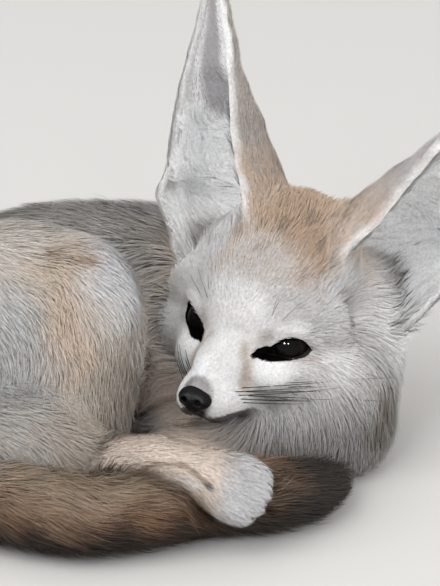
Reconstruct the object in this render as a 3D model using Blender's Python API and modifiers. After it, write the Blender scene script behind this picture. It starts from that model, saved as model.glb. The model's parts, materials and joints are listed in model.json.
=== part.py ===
"""Fennec fox, curled up at rest, life size. Metres, +Z up, the floor is z = 0.

The fox lies in a ring: rump at -X, spine round the far side (+Y), chest at +X, head
raised over the forelegs and turned back over its right side, tail along the front (-Y).
Sizes below are in centimetres and are scaled by CM as each shape is made.
"""

import math

import bmesh
import bpy
from mathutils import Matrix, Vector

# ---------------------------------------------------------------- driving sizes (cm)
CM = 0.01
GAP = 0.038            # clearance that each piece keeps to its neighbour
EDGE_GAP = 0.11        # the same round the ears, whose thin rims grow less at their corners
SHIFT = Vector((0.668, -0.49, 0.0))   # puts the origin under the middle of the whole animal

HEAD_AT = Vector((0.90, -0.56, 5.80))     # midpoint between the eyes
HEAD_YAW = 28.2        # degrees that the face turns from -Y towards -X
HEAD_ROLL = 4.4        # the right cheek is that much higher
EYE_R = 0.86           # eyeball radius
EYE_AT = (1.60, -0.34, -0.23)             # eyeball centre: out from the middle plane, forward, up
EAR_LEN = 10.3         # notch to tip
TAIL_R = 1.74          # radius of the brush at its thickest

VOXEL = 0.16           # grid of the joined forms, before they are thinned out
SHARP = 40.0           # degrees between two faces from which their edge is shaded as a corner


def head_axes():
    yaw, roll = math.radians(HEAD_YAW), math.radians(HEAD_ROLL)
    turn = Matrix.Rotation(-yaw, 3, "Z")
    right, fwd, up = (turn @ Vector(v) for v in ((-1, 0, 0), (0, -1, 0), (0, 0, 1)))
    tilt = Matrix.Rotation(-roll, 3, fwd)
    return tilt @ right, fwd, tilt @ up


RIGHT, FWD, UP = head_axes()
HEAD_M = Matrix((RIGHT, FWD, UP)).transposed()


def hd(r, f, u):
    """A point given in the head's own frame: right, forward, up of the eyes' midpoint."""
    return HEAD_AT + RIGHT * r + FWD * f + UP * u


# ---------------------------------------------------------------- scene and helpers
for old in list(bpy.data.objects):
    bpy.data.objects.remove(old, do_unlink=True)

fox = bpy.data.collections.new("fennec_fox")
cutters = bpy.data.collections.new("cutters")
bpy.context.scene.collection.children.link(fox)
bpy.context.scene.collection.children.link(cutters)


def paint(name, rgb, rough):
    mat = bpy.data.materials.new(name)
    mat.use_nodes = True
    node = mat.node_tree.nodes["Principled BSDF"]
    node.inputs["Base Color"].default_value = (*rgb, 1)
    node.inputs["Roughness"].default_value = rough
    node.inputs["Metallic"].default_value = 0.0
    return mat


# colour and roughness of each kind of surface
CREAM = (0.78, 0.73, 0.67), 0.9
SAND = (0.62, 0.50, 0.38), 0.9
GREY = (0.45, 0.42, 0.38), 0.9
RUST = (0.42, 0.25, 0.14), 0.9
BLACK_FUR = (0.05, 0.04, 0.04), 0.9
EYE = (0.015, 0.012, 0.01), 0.1
NOSE = (0.02, 0.02, 0.02), 0.35


def evaluated_mesh(obj):
    graph = bpy.context.evaluated_depsgraph_get()
    return bpy.data.meshes.new_from_object(obj.evaluated_get(graph))


def bake_modifiers(obj):
    mesh = evaluated_mesh(obj)
    obj.modifiers.clear()
    obj.data = mesh
    return obj


def new_object(name, mesh, collection=fox):
    obj = bpy.data.objects.new(name, mesh)
    collection.objects.link(obj)
    return obj


def ball(bm, centre, radii, axes=None, seg=20):
    """An ellipsoid: radii along the columns of axes, which are world axes if left out."""
    rot = (axes or Matrix.Identity(3)).to_4x4()
    size = Matrix.Diagonal((*[x * CM for x in radii], 1))
    place = Matrix.Translation(Vector(centre) * CM)
    bmesh.ops.create_uvsphere(bm, u_segments=seg, v_segments=seg * 2 // 3, radius=1.0, matrix=place @ rot @ size)


def smooth_route(points, radii, steps=5):
    """Points and radii along a Catmull-Rom curve through the given ones."""
    ctrl = [Vector((*p, r)) for p, r in zip(points, radii)]
    ctrl = [ctrl[0] * 2 - ctrl[1], *ctrl, ctrl[-1] * 2 - ctrl[-2]]
    out = []
    for i in range(1, len(ctrl) - 2):
        p0, p1, p2, p3 = ctrl[i - 1 : i + 3]
        for k in range(steps):
            t = k / steps
            out.append(0.5 * (2 * p1 + (p2 - p0) * t + (2 * p0 - 5 * p1 + 4 * p2 - p3) * t * t + (3 * p1 - p0 - 3 * p2 + p3) * t ** 3))
    out.append(ctrl[-2])
    return out


def limb(bm, points, radii, steps=5):
    """A round limb of changing thickness, with ball ends, from a bevelled curve."""
    route = smooth_route(points, radii, steps)
    curve = bpy.data.curves.new("limb", "CURVE")
    curve.dimensions = "3D"
    curve.bevel_depth = CM
    curve.bevel_resolution = 3
    curve.use_fill_caps = True
    spline = curve.splines.new("POLY")
    spline.points.add(len(route) - 1)
    for point, p in zip(spline.points, route):
        point.co = (p[0] * CM, p[1] * CM, p[2] * CM, 1)
        point.radius = p[3]
    obj = new_object("limb", curve, cutters)
    mesh = evaluated_mesh(obj)
    bpy.data.objects.remove(obj)
    piece = bmesh.new()
    piece.from_mesh(mesh)
    bmesh.ops.remove_doubles(piece, verts=piece.verts, dist=1e-6)
    piece.to_mesh(mesh)
    piece.free()
    bm.from_mesh(mesh)
    for p in (route[0], route[-1]):
        ball(bm, p[:3], (p[3] * 0.995,) * 3, seg=16)


WHOLE = {}     # each piece as it was before any cut


def form(name, bm, faces, look, smooth=6, voxel=VOXEL):
    """One soft form from the overlapping shapes in bm, thinned to about this many triangles."""
    mesh = bpy.data.meshes.new(name)
    bm.to_mesh(mesh)
    bm.free()
    obj = new_object(name, mesh)
    grid = obj.modifiers.new("join", "REMESH")
    grid.mode = "VOXEL"
    grid.voxel_size = voxel * CM
    if smooth:
        soft = obj.modifiers.new("soften", "SMOOTH")
        soft.factor, soft.iterations = 0.5, smooth
    bake_modifiers(obj)
    thin = obj.modifiers.new("thin", "DECIMATE")
    thin.ratio = min(1.0, faces / (2.0 * len(obj.data.polygons)))
    bake_modifiers(obj)
    obj.data.materials.clear()
    obj.data.materials.append(paint(name, *look))
    WHOLE[name] = obj.data.copy()
    return obj


def largest_body(obj):
    """Keeps the biggest connected body, where a cut leaves crumbs."""
    bm = bmesh.new()
    bm.from_mesh(obj.data)
    bmesh.ops.remove_doubles(bm, verts=bm.verts, dist=2e-6)
    left, groups = set(bm.verts), []
    while left:
        stack, group = [left.pop()], []
        while stack:
            v = stack.pop()
            group.append(v)
            for e in v.link_edges:
                w = e.other_vert(v)
                if w in left:
                    left.remove(w)
                    stack.append(w)
        groups.append(group)
    groups.sort(key=len)
    for group in groups[:-1]:
        bmesh.ops.delete(bm, geom=group, context="VERTS")
    bm.to_mesh(obj.data)
    bm.free()


def cut(obj, other, gap=GAP):
    """Takes the other piece, whole and grown by the gap, out of obj."""
    tool = new_object("cut_" + other.name, WHOLE.get(other.name, other.data).copy(), cutters)
    if gap:
        grow = tool.modifiers.new("grow", "DISPLACE")
        grow.mid_level, grow.strength = 0.0, gap * CM
        bake_modifiers(tool)
    less = obj.modifiers.new("less", "BOOLEAN")
    less.operation, less.solver, less.object = "DIFFERENCE", "EXACT", tool
    bake_modifiers(obj)
    bpy.data.objects.remove(tool)
    largest_body(obj)


def box_cutter(low, high):
    bm = bmesh.new()
    mid = (Vector(low) + Vector(high)) / 2
    size = Vector(high) - Vector(low)
    bmesh.ops.create_cube(bm, size=1.0, matrix=Matrix.Translation(mid * CM) @ Matrix.Diagonal((*(size * CM), 1)))
    mesh = bpy.data.meshes.new("box")
    bm.to_mesh(mesh)
    bm.free()
    return new_object("box", mesh, cutters)


FLOOR = box_cutter((-40, -40, -10), (40, 40, 0))


# ---------------------------------------------------------------- head
def head_ball(bm, r, f, u, radii, seg=20, tilt=None):
    axes = HEAD_M @ tilt if tilt else HEAD_M
    ball(bm, hd(r, f, u), radii, axes, seg)


def make_head():
    bm = bmesh.new()
    head_ball(bm, 0, -2.4, 0.75, (3.2, 3.3, 2.65))           # braincase under its fur
    head_ball(bm, 0, -2.9, 1.8, (2.7, 2.3, 1.85))            # crown between the ears
    head_ball(bm, 0, -4.0, 2.25, (2.6, 2.0, 1.9))            # back of the crown
    head_ball(bm, 0, -1.35, -0.35, (3.45, 1.8, 1.95))        # cheekbones and brows
    head_ball(bm, 0, -0.45, 0.4, (1.75, 1.75, 1.4))          # forehead down to the stop
    for s in (1, -1):
        # fur at the root of the ear, less of it under the open one
        head_ball(bm, *((2.2, -2.6, 1.65, (1.6, 1.8, 1.5)) if s > 0 else (-1.9, -2.6, 1.55, (1.3, 1.7, 1.4))))
        head_ball(bm, s * 2.45, -1.25, 0.45, (1.45, 1.1, 1.45))      # temple, between eye and ear
        head_ball(bm, s * 2.1, -1.75, -1.2, (2.0, 2.1, 1.8))      # cheek ruff
        head_ball(bm, s * 1.3, -0.1, -1.1, (1.45, 1.8, 1.3))      # from the cheek to the muzzle
        head_ball(bm, s * 0.66, 1.95, -1.78, (0.74, 1.5, 0.86))    # upper lip
    head_ball(bm, 0, 0.9, -0.7, (1.2, 1.9, 1.15))            # root of the muzzle
    limb(bm, [hd(0, 0.6, -0.75), hd(0, 2.0, -1.05), hd(0, 3.1, -1.36)], [1.2, 0.98, 0.78], 4)
    limb(bm, [hd(0, -1.0, -2.2), hd(0, 1.2, -2.4), hd(0, 2.55, -2.5)], [1.3, 0.80, 0.40], 4)   # lower jaw
    head_ball(bm, 0, -1.6, -1.7, (2.7, 2.3, 1.5))            # throat
    return form("head", bm, 980, CREAM, smooth=26, voxel=0.12)


def make_eye(name, s):
    bm = bmesh.new()
    head_ball(bm, s * EYE_AT[0], EYE_AT[1], EYE_AT[2], (EYE_R,) * 3, seg=12)
    mesh = bpy.data.meshes.new(name)
    bm.to_mesh(mesh)
    bm.free()
    mesh.materials.append(paint(name, *EYE))
    return new_object(name, mesh)


def make_nose():
    bm = bmesh.new()
    head_ball(bm, 0.05, 3.55, -1.26, (0.64, 0.46, 0.54), seg=14)
    head_ball(bm, 0.05, 3.52, -1.66, (0.42, 0.42, 0.42), seg=14)
    return form("nose", bm, 170, NOSE, smooth=2, voxel=0.07)


# ---------------------------------------------------------------- ears
def profile(table, t):
    """Linear reading of a short table of (t, value) pairs."""
    for (t0, v0), (t1, v1) in zip(table, table[1:]):
        if t <= t1:
            k = (t - t0) / (t1 - t0)
            k = k * k * (3 - 2 * k) * 0.5 + k * 0.5
            return v0 + (v1 - v0) * k
    return table[-1][1]


# along each ear, 0 at the notch and 1 at the tip: half width, depth, half angle that the rim curls to, and lean. The left
# ear is held more open and more upright than the right.
EAR_W = {
    1: ((-0.14, 1.7), (0.0, 2.25), (0.17, 2.13), (0.3, 1.82), (0.46, 1.56), (0.57, 1.40), (0.68, 1.12), (0.86, 0.62), (1.0, 0.08)),
    -1: ((-0.14, 2.1), (0.0, 2.35), (0.17, 2.2), (0.3, 2.1), (0.46, 1.9), (0.57, 1.62), (0.68, 1.3), (0.86, 0.72), (1.0, 0.08)),
}
EAR_D = {
    1: ((-0.14, 2.3), (0.0, 3.0), (0.17, 3.2), (0.3, 3.0), (0.46, 2.3), (0.57, 1.35), (0.68, 0.6), (0.86, 0.3), (1.0, 0.08)),
    -1: ((-0.14, 2.6), (0.0, 3.3), (0.17, 3.2), (0.3, 2.5), (0.46, 1.3), (0.57, 0.75), (0.68, 0.5), (0.86, 0.3), (1.0, 0.08)),
}
EAR_A = {
    1: ((-0.14, 118), (0.0, 110), (0.17, 100), (0.4, 94), (1.0, 92)),
    -1: ((-0.14, 105), (0.0, 102), (0.17, 98), (0.4, 94), (1.0, 92)),
}
EAR_X = {
    1: ((-0.14, -1.5), (0.0, -1.15), (0.17, -0.45), (0.4, 0.0), (0.6, -0.07), (0.8, -0.25), (1.0, -0.3)),
    -1: ((-0.14, -0.1), (0.0, -0.2), (0.17, 0.0), (0.4, -0.1), (0.6, -0.38), (0.8, -0.4), (1.0, -0.3)),
}


def make_ear(name, s, base, axis, opening):
    """A leaf rolled to a half cone. s is +1 on the right side; base is the middle of the mouth's low end."""
    a = Vector(axis).normalized()
    o = Vector(opening)
    o = (o - a * o.dot(a)).normalized()
    side = o.cross(a) * s          # towards the outer margin
    rows, cols = 12, 9
    bm = bmesh.new()
    grid = []
    for i in range(rows + 1):
        low = -0.14 + 1.14 * i / rows
        w, d, arc = profile(EAR_W[s], low), profile(EAR_D[s], low), math.radians(profile(EAR_A[s], low))
        pocket = 0.34 * math.exp(-(((low - 0.2) / 0.065) ** 2)) - 0.28 * max(0.0, min(1.0, (0.15 - low) / 0.12))   # fold low on the outer margin
        row = []
        for j in range(cols + 1):
            phi = arc * (2 * j / cols - 1)
            t = low
            if i == 0:
                t += 0.1 * (1 - phi / arc) / 2       # the inner margin starts higher
            x, y = w * math.sin(phi) + profile(EAR_X[s], t), -d * math.cos(phi)
            if phi > 1.2:
                x += pocket
            row.append(bm.verts.new((Vector(base) + a * EAR_LEN * t + side * x + o * y) * CM))
        grid.append(row)
    for r0, r1 in zip(grid, grid[1:]):
        for j in range(cols):
            bm.faces.new((r0[j], r0[j + 1], r1[j + 1], r1[j]))
    mesh = bpy.data.meshes.new(name)
    bm.to_mesh(mesh)
    bm.free()
    obj = new_object(name, mesh)
    shell = obj.modifiers.new("shell", "SOLIDIFY")
    shell.thickness, shell.offset = 0.30 * CM, 0.0
    bake_modifiers(obj)
    bm = bmesh.new()
    bm.from_mesh(obj.data)
    bmesh.ops.recalc_face_normals(bm, faces=bm.faces)
    bm.to_mesh(obj.data)
    bm.free()
    obj.data.materials.append(paint(name, *SAND))
    WHOLE[name] = obj.data.copy()
    return obj


# ---------------------------------------------------------------- body
def make_neck():
    bm = bmesh.new()
    limb(bm, [hd(0, -3.0, -0.2), (3.5, 2.5, 4.6), (3.9, 2.5, 3.6)], [2.6, 2.95, 2.95])
    ball(bm, (2.9, 0.3, 3.2), (3.3, 2.9, 2.8))               # throat ruff under the cheeks
    return form("neck", bm, 260, CREAM)


def make_chest():
    bm = bmesh.new()
    ball(bm, (3.5, 0.9, 2.9), (3.4, 3.6, 3.0))
    ball(bm, (4.0, 3.2, 3.9), (3.1, 3.4, 3.5))               # shoulders
    ball(bm, (3.8, 0.3, 1.3), (2.95, 3.0, 1.9))              # fur that spreads on the floor
    ball(bm, (2.2, -1.4, 1.9), (2.9, 2.2, 2.1))              # brisket fur
    return form("chest", bm, 290, CREAM)


def make_trunk():
    bm = bmesh.new()
    path = [(-10.2, -0.6, 3.6), (-9.6, 2.2, 3.9), (-6.6, 4.9, 4.0), (-2.4, 5.9, 3.75), (1.8, 5.2, 3.4)]
    limb(bm, path, [3.7, 4.1, 4.2, 4.05, 3.75], 6)
    ball(bm, (-6.2, 1.5, 2.8), (4.0, 3.2, 2.9))              # belly
    ball(bm, (-10.9, -1.6, 3.6), (2.6, 2.6, 2.9))            # rump
    ball(bm, (-1.7, 2.4, 2.1), (3.2, 2.2, 2.1))              # flank beside the elbow
    return form("trunk", bm, 400, GREY)


def make_thigh_r():
    bm = bmesh.new()
    ball(bm, (-7.6, -1.1, 5.85), (4.9, 3.3, 4.45))
    ball(bm, (-5.0, -2.1, 7.1), (2.15, 2.4, 3.0))            # knee, held high
    ball(bm, (-5.35, -2.5, 4.7), (2.4, 2.7, 3.7))            # shank under it
    ball(bm, (-7.2, -4.0, 3.1), (3.6, 2.5, 2.5))             # down to the hock
    ball(bm, (-5.7, -5.0, 2.7), (1.7, 1.5, 1.5))
    return form("thigh_r", bm, 440, SAND, smooth=12)


def make_thigh_l():
    bm = bmesh.new()
    ball(bm, (-7.0, -1.2, 1.6), (4.2, 3.0, 1.9))             # under the right one
    return form("thigh_l", bm, 140, CREAM)


def make_hind_foot(name, route, radii, toes, faces=340):
    """Hock, long metatarsus and four toes; toes is (centre, forward, down) of the toe row."""
    bm = bmesh.new()
    limb(bm, route, radii)
    centre, fwd, down = (Vector(v) for v in toes)
    fwd.normalize()
    down = (down - fwd * down.dot(fwd)).normalized()
    side = fwd.cross(down)
    axes = Matrix((fwd, side, down)).transposed()
    for k, off in enumerate((-0.82, -0.29, 0.29, 0.82)):
        reach = 0.35 if k in (1, 2) else 0.0
        ball(bm, centre + side * off + fwd * (reach - 0.1), (0.95, 0.42, 0.56), axes, seg=14)
    ball(bm, centre - fwd * 0.75, (1.25, 1.07, 0.78), axes, seg=14)
    return form(name, bm, faces, CREAM, smooth=3, voxel=0.12)


def make_foreleg(name, route, radii, toes):
    bm = bmesh.new()
    limb(bm, route, radii)
    centre, fwd, down = (Vector(v) for v in toes)
    fwd.normalize()
    down = (down - fwd * down.dot(fwd)).normalized()
    side = fwd.cross(down)
    axes = Matrix((fwd, side, down)).transposed()
    for k, off in enumerate((-0.75, -0.26, 0.26, 0.75)):
        reach = 0.25 if k in (1, 2) else 0.0
        ball(bm, centre + side * off + fwd * reach, (0.72, 0.38, 0.5), axes, seg=14)
    ball(bm, centre - fwd * 0.5, (0.8, 0.9, 0.62), axes, seg=14)
    return form(name, bm, 220, CREAM, smooth=3, voxel=0.12)


TAIL = [
    (-12.3, -1.8, 2.9, 1.4), (-11.8, -3.5, 2.0, 1.65), (-9.9, -5.2, TAIL_R, TAIL_R), (-7.4, -6.45, TAIL_R, TAIL_R),
    (-5.1, -7.25, TAIL_R, TAIL_R), (-2.65, -6.7, 1.68, 1.68), (-0.9, -5.8, 1.6, 1.6), (1.2, -5.6, 1.55, 1.55),
    (2.7, -5.1, 1.35, 1.4), (3.6, -4.1, 1.1, 1.15), (4.25, -3.1, 0.68, 0.75),
]


def make_tail(name, first, last, faces, look):
    bm = bmesh.new()
    pts = TAIL[first : last + 1]
    limb(bm, [p[:3] for p in pts], [p[3] for p in pts])
    return form(name, bm, faces, look, smooth=2, voxel=0.14)


# ---------------------------------------------------------------- assembly
head = make_head()
nose = make_nose()
eye_r, eye_l = make_eye("eye_r", 1), make_eye("eye_l", -1)
ear_r = make_ear("ear_r", 1, (-0.45, 3.8, 7.2), (0.0, 0.45, 0.893), (-0.68, -0.66, 0.31))
ear_l = make_ear("ear_l", -1, (6.05, 1.5, 6.9), (0.64, 0.1125, 0.76), (0.35, -0.85, 0.10))
neck = make_neck()
thigh_r = make_thigh_r()
foot_r = make_hind_foot(
    "hind_foot_r",
    [(-4.6, -5.0, 2.5), (-3.8, -5.55, 2.85), (-2.4, -6.2, 3.25), (-0.6, -6.8, 3.1)],
    [0.75, 0.95, 0.97, 0.95],
    ((0.62, -7.2, 2.62), (0.9, -0.28, -0.38), (0.1, 0.75, -0.65)),
)
foot_l = make_hind_foot(
    "hind_foot_l",
    [(-5.6, -3.2, 1.0), (-4.0, -4.2, 0.95), (-2.4, -4.6, 0.9)],
    [1.05, 1.0, 0.95],
    ((-1.2, -4.55, 0.55), (1, -0.1, -0.05), (0, 0, -1)),
    faces=200,
)
fore_r = make_foreleg(
    "fore_leg_r",
    [(2.6, -0.9, 1.3), (0.6, -1.9, 1.3), (-1.5, -2.3, 1.3), (-2.9, -2.35, 1.05)],
    [1.4, 1.4, 1.35, 1.1],
    ((-3.7, -2.35, 0.5), (-1, 0, -0.1), (0, 0, -1)),
)
fore_l = make_foreleg(
    "fore_leg_l",
    [(3.4, 1.6, 1.3), (1.0, 0.75, 1.3), (-1.0, 0.2, 1.3), (-2.4, -0.05, 1.05)],
    [1.4, 1.4, 1.35, 1.1],
    ((-3.2, -0.1, 0.5), (-1, 0, -0.1), (0, 0, -1)),
)
chest, trunk, thigh_l = make_chest(), make_trunk(), make_thigh_l()
tail_base = make_tail("tail_base", 0, 3, 200, RUST)
tail_mid = make_tail("tail_mid", 3, 7, 190, RUST)
tail_tip = make_tail("tail_tip", 7, 10, 180, BLACK_FUR)

# Each piece gives way to those before it.
ORDER = [
    nose, eye_r, eye_l, head, ear_r, ear_l, neck, thigh_r, foot_r, foot_l, chest, trunk,
    thigh_l, fore_r, fore_l, tail_base, tail_mid, tail_tip,
]


def box_of(mesh):
    pts = [v.co for v in mesh.vertices]
    return [(min(p[i] for p in pts), max(p[i] for p in pts)) for i in range(3)]


BOX = {obj.name: box_of(WHOLE.get(obj.name, obj.data)) for obj in ORDER}
for at, piece in enumerate(ORDER):
    for other in ORDER[:at]:
        if all(a[0] < b[1] and b[0] < a[1] for a, b in zip(BOX[piece.name], BOX[other.name])):
            cut(piece, other, EDGE_GAP if other in (ear_r, ear_l) else GAP)
    if BOX[piece.name][2][0] < 0:
        cut(piece, FLOOR, gap=0)
bpy.data.objects.remove(FLOOR)

for obj in fox.objects:
    obj.location = SHIFT * CM
    obj.data.shade_smooth()
    obj.data.set_sharp_from_angle(angle=math.radians(SHARP))
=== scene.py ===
import json
import math
import time

import bmesh
import bpy
import numpy as np
from mathutils import Matrix, Vector
from mathutils.bvhtree import BVHTree

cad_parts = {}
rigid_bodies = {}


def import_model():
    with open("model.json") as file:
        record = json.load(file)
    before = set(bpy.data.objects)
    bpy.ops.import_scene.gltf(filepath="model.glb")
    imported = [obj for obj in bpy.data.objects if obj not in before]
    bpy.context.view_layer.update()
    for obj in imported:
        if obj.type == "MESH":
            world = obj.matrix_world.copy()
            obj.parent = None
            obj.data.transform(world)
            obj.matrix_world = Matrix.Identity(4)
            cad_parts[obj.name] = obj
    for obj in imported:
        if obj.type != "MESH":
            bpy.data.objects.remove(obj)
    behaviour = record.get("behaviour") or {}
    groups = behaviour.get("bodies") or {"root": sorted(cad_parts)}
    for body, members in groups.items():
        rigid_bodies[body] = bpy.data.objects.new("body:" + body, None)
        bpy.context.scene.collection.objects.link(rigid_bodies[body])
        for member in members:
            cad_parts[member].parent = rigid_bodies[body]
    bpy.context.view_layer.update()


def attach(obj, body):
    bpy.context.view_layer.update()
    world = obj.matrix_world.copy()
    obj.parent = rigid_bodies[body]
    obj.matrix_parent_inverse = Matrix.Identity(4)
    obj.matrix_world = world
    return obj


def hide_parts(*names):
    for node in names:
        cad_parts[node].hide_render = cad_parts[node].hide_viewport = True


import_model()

# Everything below is worked out in centimetres, in the frame that the head and body sizes are
# stated in, and is moved by SHIFT and scaled by CM when a mesh is made.
CM = 0.01
SHIFT = np.array([0.668, -0.49, 0.0])
rng = np.random.default_rng(20)
F = np.float32
T0 = time.time()


def note(text):
    print(f"[{time.time() - T0:6.1f}s] {text}", flush=True)


def unit(v):
    v = np.asarray(v, float)
    return v / np.maximum(np.linalg.norm(v, axis=-1, keepdims=True), 1e-9)


def smooth01(x, lo, hi):
    t = np.clip((x - lo) / (hi - lo), 0, 1)
    return t * t * (3 - 2 * t)


# ------------------------------------------------------------------ the head's own axes
HEAD_AT = np.array([0.90, -0.56, 5.80])


def head_axes():
    yaw, roll = math.radians(28.2), math.radians(4.4)
    turn = Matrix.Rotation(-yaw, 3, "Z")
    right, fwd, up = (turn @ Vector(v) for v in ((-1, 0, 0), (0, -1, 0), (0, 0, 1)))
    tilt = Matrix.Rotation(-roll, 3, fwd)
    return np.array(tilt @ right), np.array(fwd), np.array(tilt @ up)


RIGHT, FWD, UP = head_axes()
HM = np.stack([RIGHT, FWD, UP], axis=1)      # columns are the axes


def hd(r, f, u):
    return HEAD_AT + RIGHT * r + FWD * f + UP * u


def to_head(P):
    return (P - HEAD_AT) @ HM


# ------------------------------------------------------------------ distance functions
def ell(P, c, r, axes=None):
    q = P - np.asarray(c, F)
    if axes is not None:
        q = q @ np.asarray(axes, F)
    a = q / np.asarray(r, F)
    k0 = np.sqrt((a * a).sum(1))
    b = a / np.asarray(r, F)
    return k0 * (k0 - 1) / np.maximum(np.sqrt((b * b).sum(1)), 1e-6)


def chain(P, pts, rad):
    """Distance to a limb of changing radius, and how far along it the nearest place is."""
    best, where = None, None
    for i in range(len(pts) - 1):
        a, b = np.asarray(pts[i], F), np.asarray(pts[i + 1], F)
        ab = b - a
        t = np.clip(((P - a) @ ab) / (ab @ ab), 0, 1)
        q = P - a - t[:, None] * ab
        d = np.sqrt((q * q).sum(1)) - (rad[i] + t * (rad[i + 1] - rad[i]))
        if best is None:
            best, where = d, t.copy()
        else:
            m = d < best
            best = np.where(m, d, best)
            where = np.where(m, i + t, where)
    return best, where


def smin(a, b, k):
    h = np.maximum(k - np.abs(a - b), 0) / k
    return np.minimum(a, b) - h * h * (k / 4)


def smax(a, b, k):
    return -smin(-a, -b, k)


def route(points, radii, steps=4):
    """The same curve through the control points that the solids use."""
    ctrl = [np.array([*p, r]) for p, r in zip(points, radii)]
    ctrl = [ctrl[0] * 2 - ctrl[1], *ctrl, ctrl[-1] * 2 - ctrl[-2]]
    out = []
    for i in range(1, len(ctrl) - 2):
        p0, p1, p2, p3 = ctrl[i - 1 : i + 3]
        for k in range(steps):
            t = k / steps
            out.append(0.5 * (2 * p1 + (p2 - p0) * t + (2 * p0 - 5 * p1 + 4 * p2 - p3) * t * t + (3 * p1 - p0 - 3 * p2 + p3) * t ** 3))
    out.append(ctrl[-2])
    out = np.array(out)
    return out[:, :3], out[:, 3]


# ------------------------------------------------------------------ body measures
TAIL_R = 1.74
TAIL = [
    (-12.3, -1.8, 2.9, 1.4), (-11.8, -3.5, 2.0, 1.65), (-9.9, -5.2, TAIL_R, TAIL_R), (-7.4, -6.45, TAIL_R, TAIL_R),
    (-5.1, -7.25, TAIL_R, TAIL_R), (-2.65, -6.7, 1.68, 1.68), (-0.9, -5.8, 1.6, 1.6), (1.2, -5.6, 1.55, 1.55),
    (2.7, -5.1, 1.35, 1.4), (3.6, -4.1, 1.1, 1.15), (4.25, -3.1, 0.68, 0.75),
]
TAIL_P, TAIL_RAD = route([t[:3] for t in TAIL], [t[3] for t in TAIL], 3)
TRUNK_P, TRUNK_RAD = route(
    [(-10.2, -0.6, 3.6), (-9.6, 2.2, 3.9), (-6.6, 4.9, 4.0), (-2.4, 5.9, 3.75), (1.8, 5.2, 3.4)], [3.7, 4.1, 4.2, 4.05, 3.75], 4
)
LEGS = {
    "hind_foot_r": (
        [(-4.6, -5.0, 2.5), (-3.8, -5.55, 2.85), (-2.4, -6.2, 3.25), (-0.6, -6.8, 3.1)],
        [0.75, 0.95, 0.97, 0.95], ((0.62, -7.2, 2.62), (0.9, -0.28, -0.38), (0.1, 0.75, -0.65)),
        (-0.80, -0.28, 0.28, 0.80), (0.95, 0.45, 0.56), 0.22, -0.02, (1.3, 1.10, 0.80), 0.75,
    ),
    "hind_foot_l": (
        [(-5.6, -3.2, 1.0), (-4.0, -4.2, 0.95), (-2.4, -4.6, 0.9)],
        [1.05, 1.0, 0.95], ((-1.2, -4.55, 0.55), (1, -0.1, -0.05), (0, 0, -1)),
        (-0.84, -0.3, 0.3, 0.84), (0.95, 0.42, 0.56), 0.35, -0.1, (1.1, 1.05, 0.72), 0.75,
    ),
    "fore_leg_r": (
        [(2.6, -0.9, 1.3), (0.6, -1.9, 1.3), (-1.5, -2.3, 1.3), (-2.9, -2.35, 1.05)],
        [1.4, 1.4, 1.35, 1.1], ((-3.7, -2.35, 0.5), (-1, 0, -0.1), (0, 0, -1)),
        (-0.75, -0.26, 0.26, 0.75), (0.72, 0.38, 0.5), 0.25, 0.0, (0.8, 0.9, 0.62), 0.5,
    ),
    "fore_leg_l": (
        [(3.4, 1.6, 1.3), (1.0, 0.75, 1.3), (-1.0, 0.2, 1.3), (-2.4, -0.05, 1.05)],
        [1.4, 1.4, 1.35, 1.1], ((-3.2, -0.1, 0.5), (-1, 0, -0.1), (0, 0, -1)),
        (-0.75, -0.26, 0.26, 0.75), (0.72, 0.38, 0.5), 0.25, 0.0, (0.8, 0.9, 0.62), 0.5,
    ),
}
LEG_P = {}
for leg_name, leg in LEGS.items():
    pts, rad = route(leg[0], leg[1], 4)
    LEG_P[leg_name] = (pts, rad)


def toe_frame(leg_name):
    centre, fwd, down = (np.array(v, float) for v in LEGS[leg_name][2])
    fwd = fwd / np.linalg.norm(fwd)
    down = down - fwd * (down @ fwd)
    down /= np.linalg.norm(down)
    side = np.cross(fwd, down)
    return centre, fwd, side, down


def sd_leg(P, leg_name, depth):
    pts, rad = LEG_P[leg_name]
    d, _ = chain(P, pts, rad - depth)
    _, _, _, offs, size, reach, back, palm, palm_back = LEGS[leg_name]
    centre, fwd, side, down = toe_frame(leg_name)
    axes = np.stack([fwd, side, down], axis=1)
    toes = None
    for k, off in enumerate(offs):
        far = reach if k in (1, 2) else 0.0
        t = ell(P, centre + side * off + fwd * (far + back), np.array(size) - 0.10, axes)
        toes = t if toes is None else smin(toes, t, 0.24)
    d = smin(d, ell(P, centre - fwd * palm_back, np.array(palm) - 0.12, axes), 0.3)
    return smin(d, toes, 0.16)


# ------------------------------------------------------------------ eyes
EYE_R = 0.86
EYES = {}
for s in (1, -1):
    c = np.array([s * 1.60, -0.34, -0.23])
    inner, outer = np.array([s * 0.94, 0.79, -0.47]), np.array([s * 2.58, -0.26, 0.06])
    along = unit(outer - inner)
    gaze = (inner + outer) / 2 - c
    gaze = unit(gaze - along * (gaze @ along))
    over = np.cross(along, gaze)
    over = over * np.sign(over[2])
    EYES[s] = dict(c=c, along=along, gaze=gaze, over=over, mid=(inner + outer) / 2, inner=inner, outer=outer)


# the lids' edges seen square on, from the inner end outwards: how far along, the upper edge, the lower edge
LIDS = {
    1: ((-0.86, -0.56, -0.24, 0.09, 0.45, 0.75, 0.92, 1.04), (0.20, 0.38, 0.52, 0.58, 0.56, 0.45, 0.30, 0.12), (0.04, -0.02, -0.07, -0.10, -0.10, -0.06, 0.04, 0.12)),
    -1: ((-0.90, -0.60, -0.36, -0.10, 0.17, 0.45, 0.70, 0.88, 1.02), (0.06, 0.14, 0.26, 0.40, 0.48, 0.44, 0.29, 0.07, -0.22), (0.00, -0.03, -0.09, -0.18, -0.27, -0.34, -0.36, -0.33, -0.22)),
}


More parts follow.
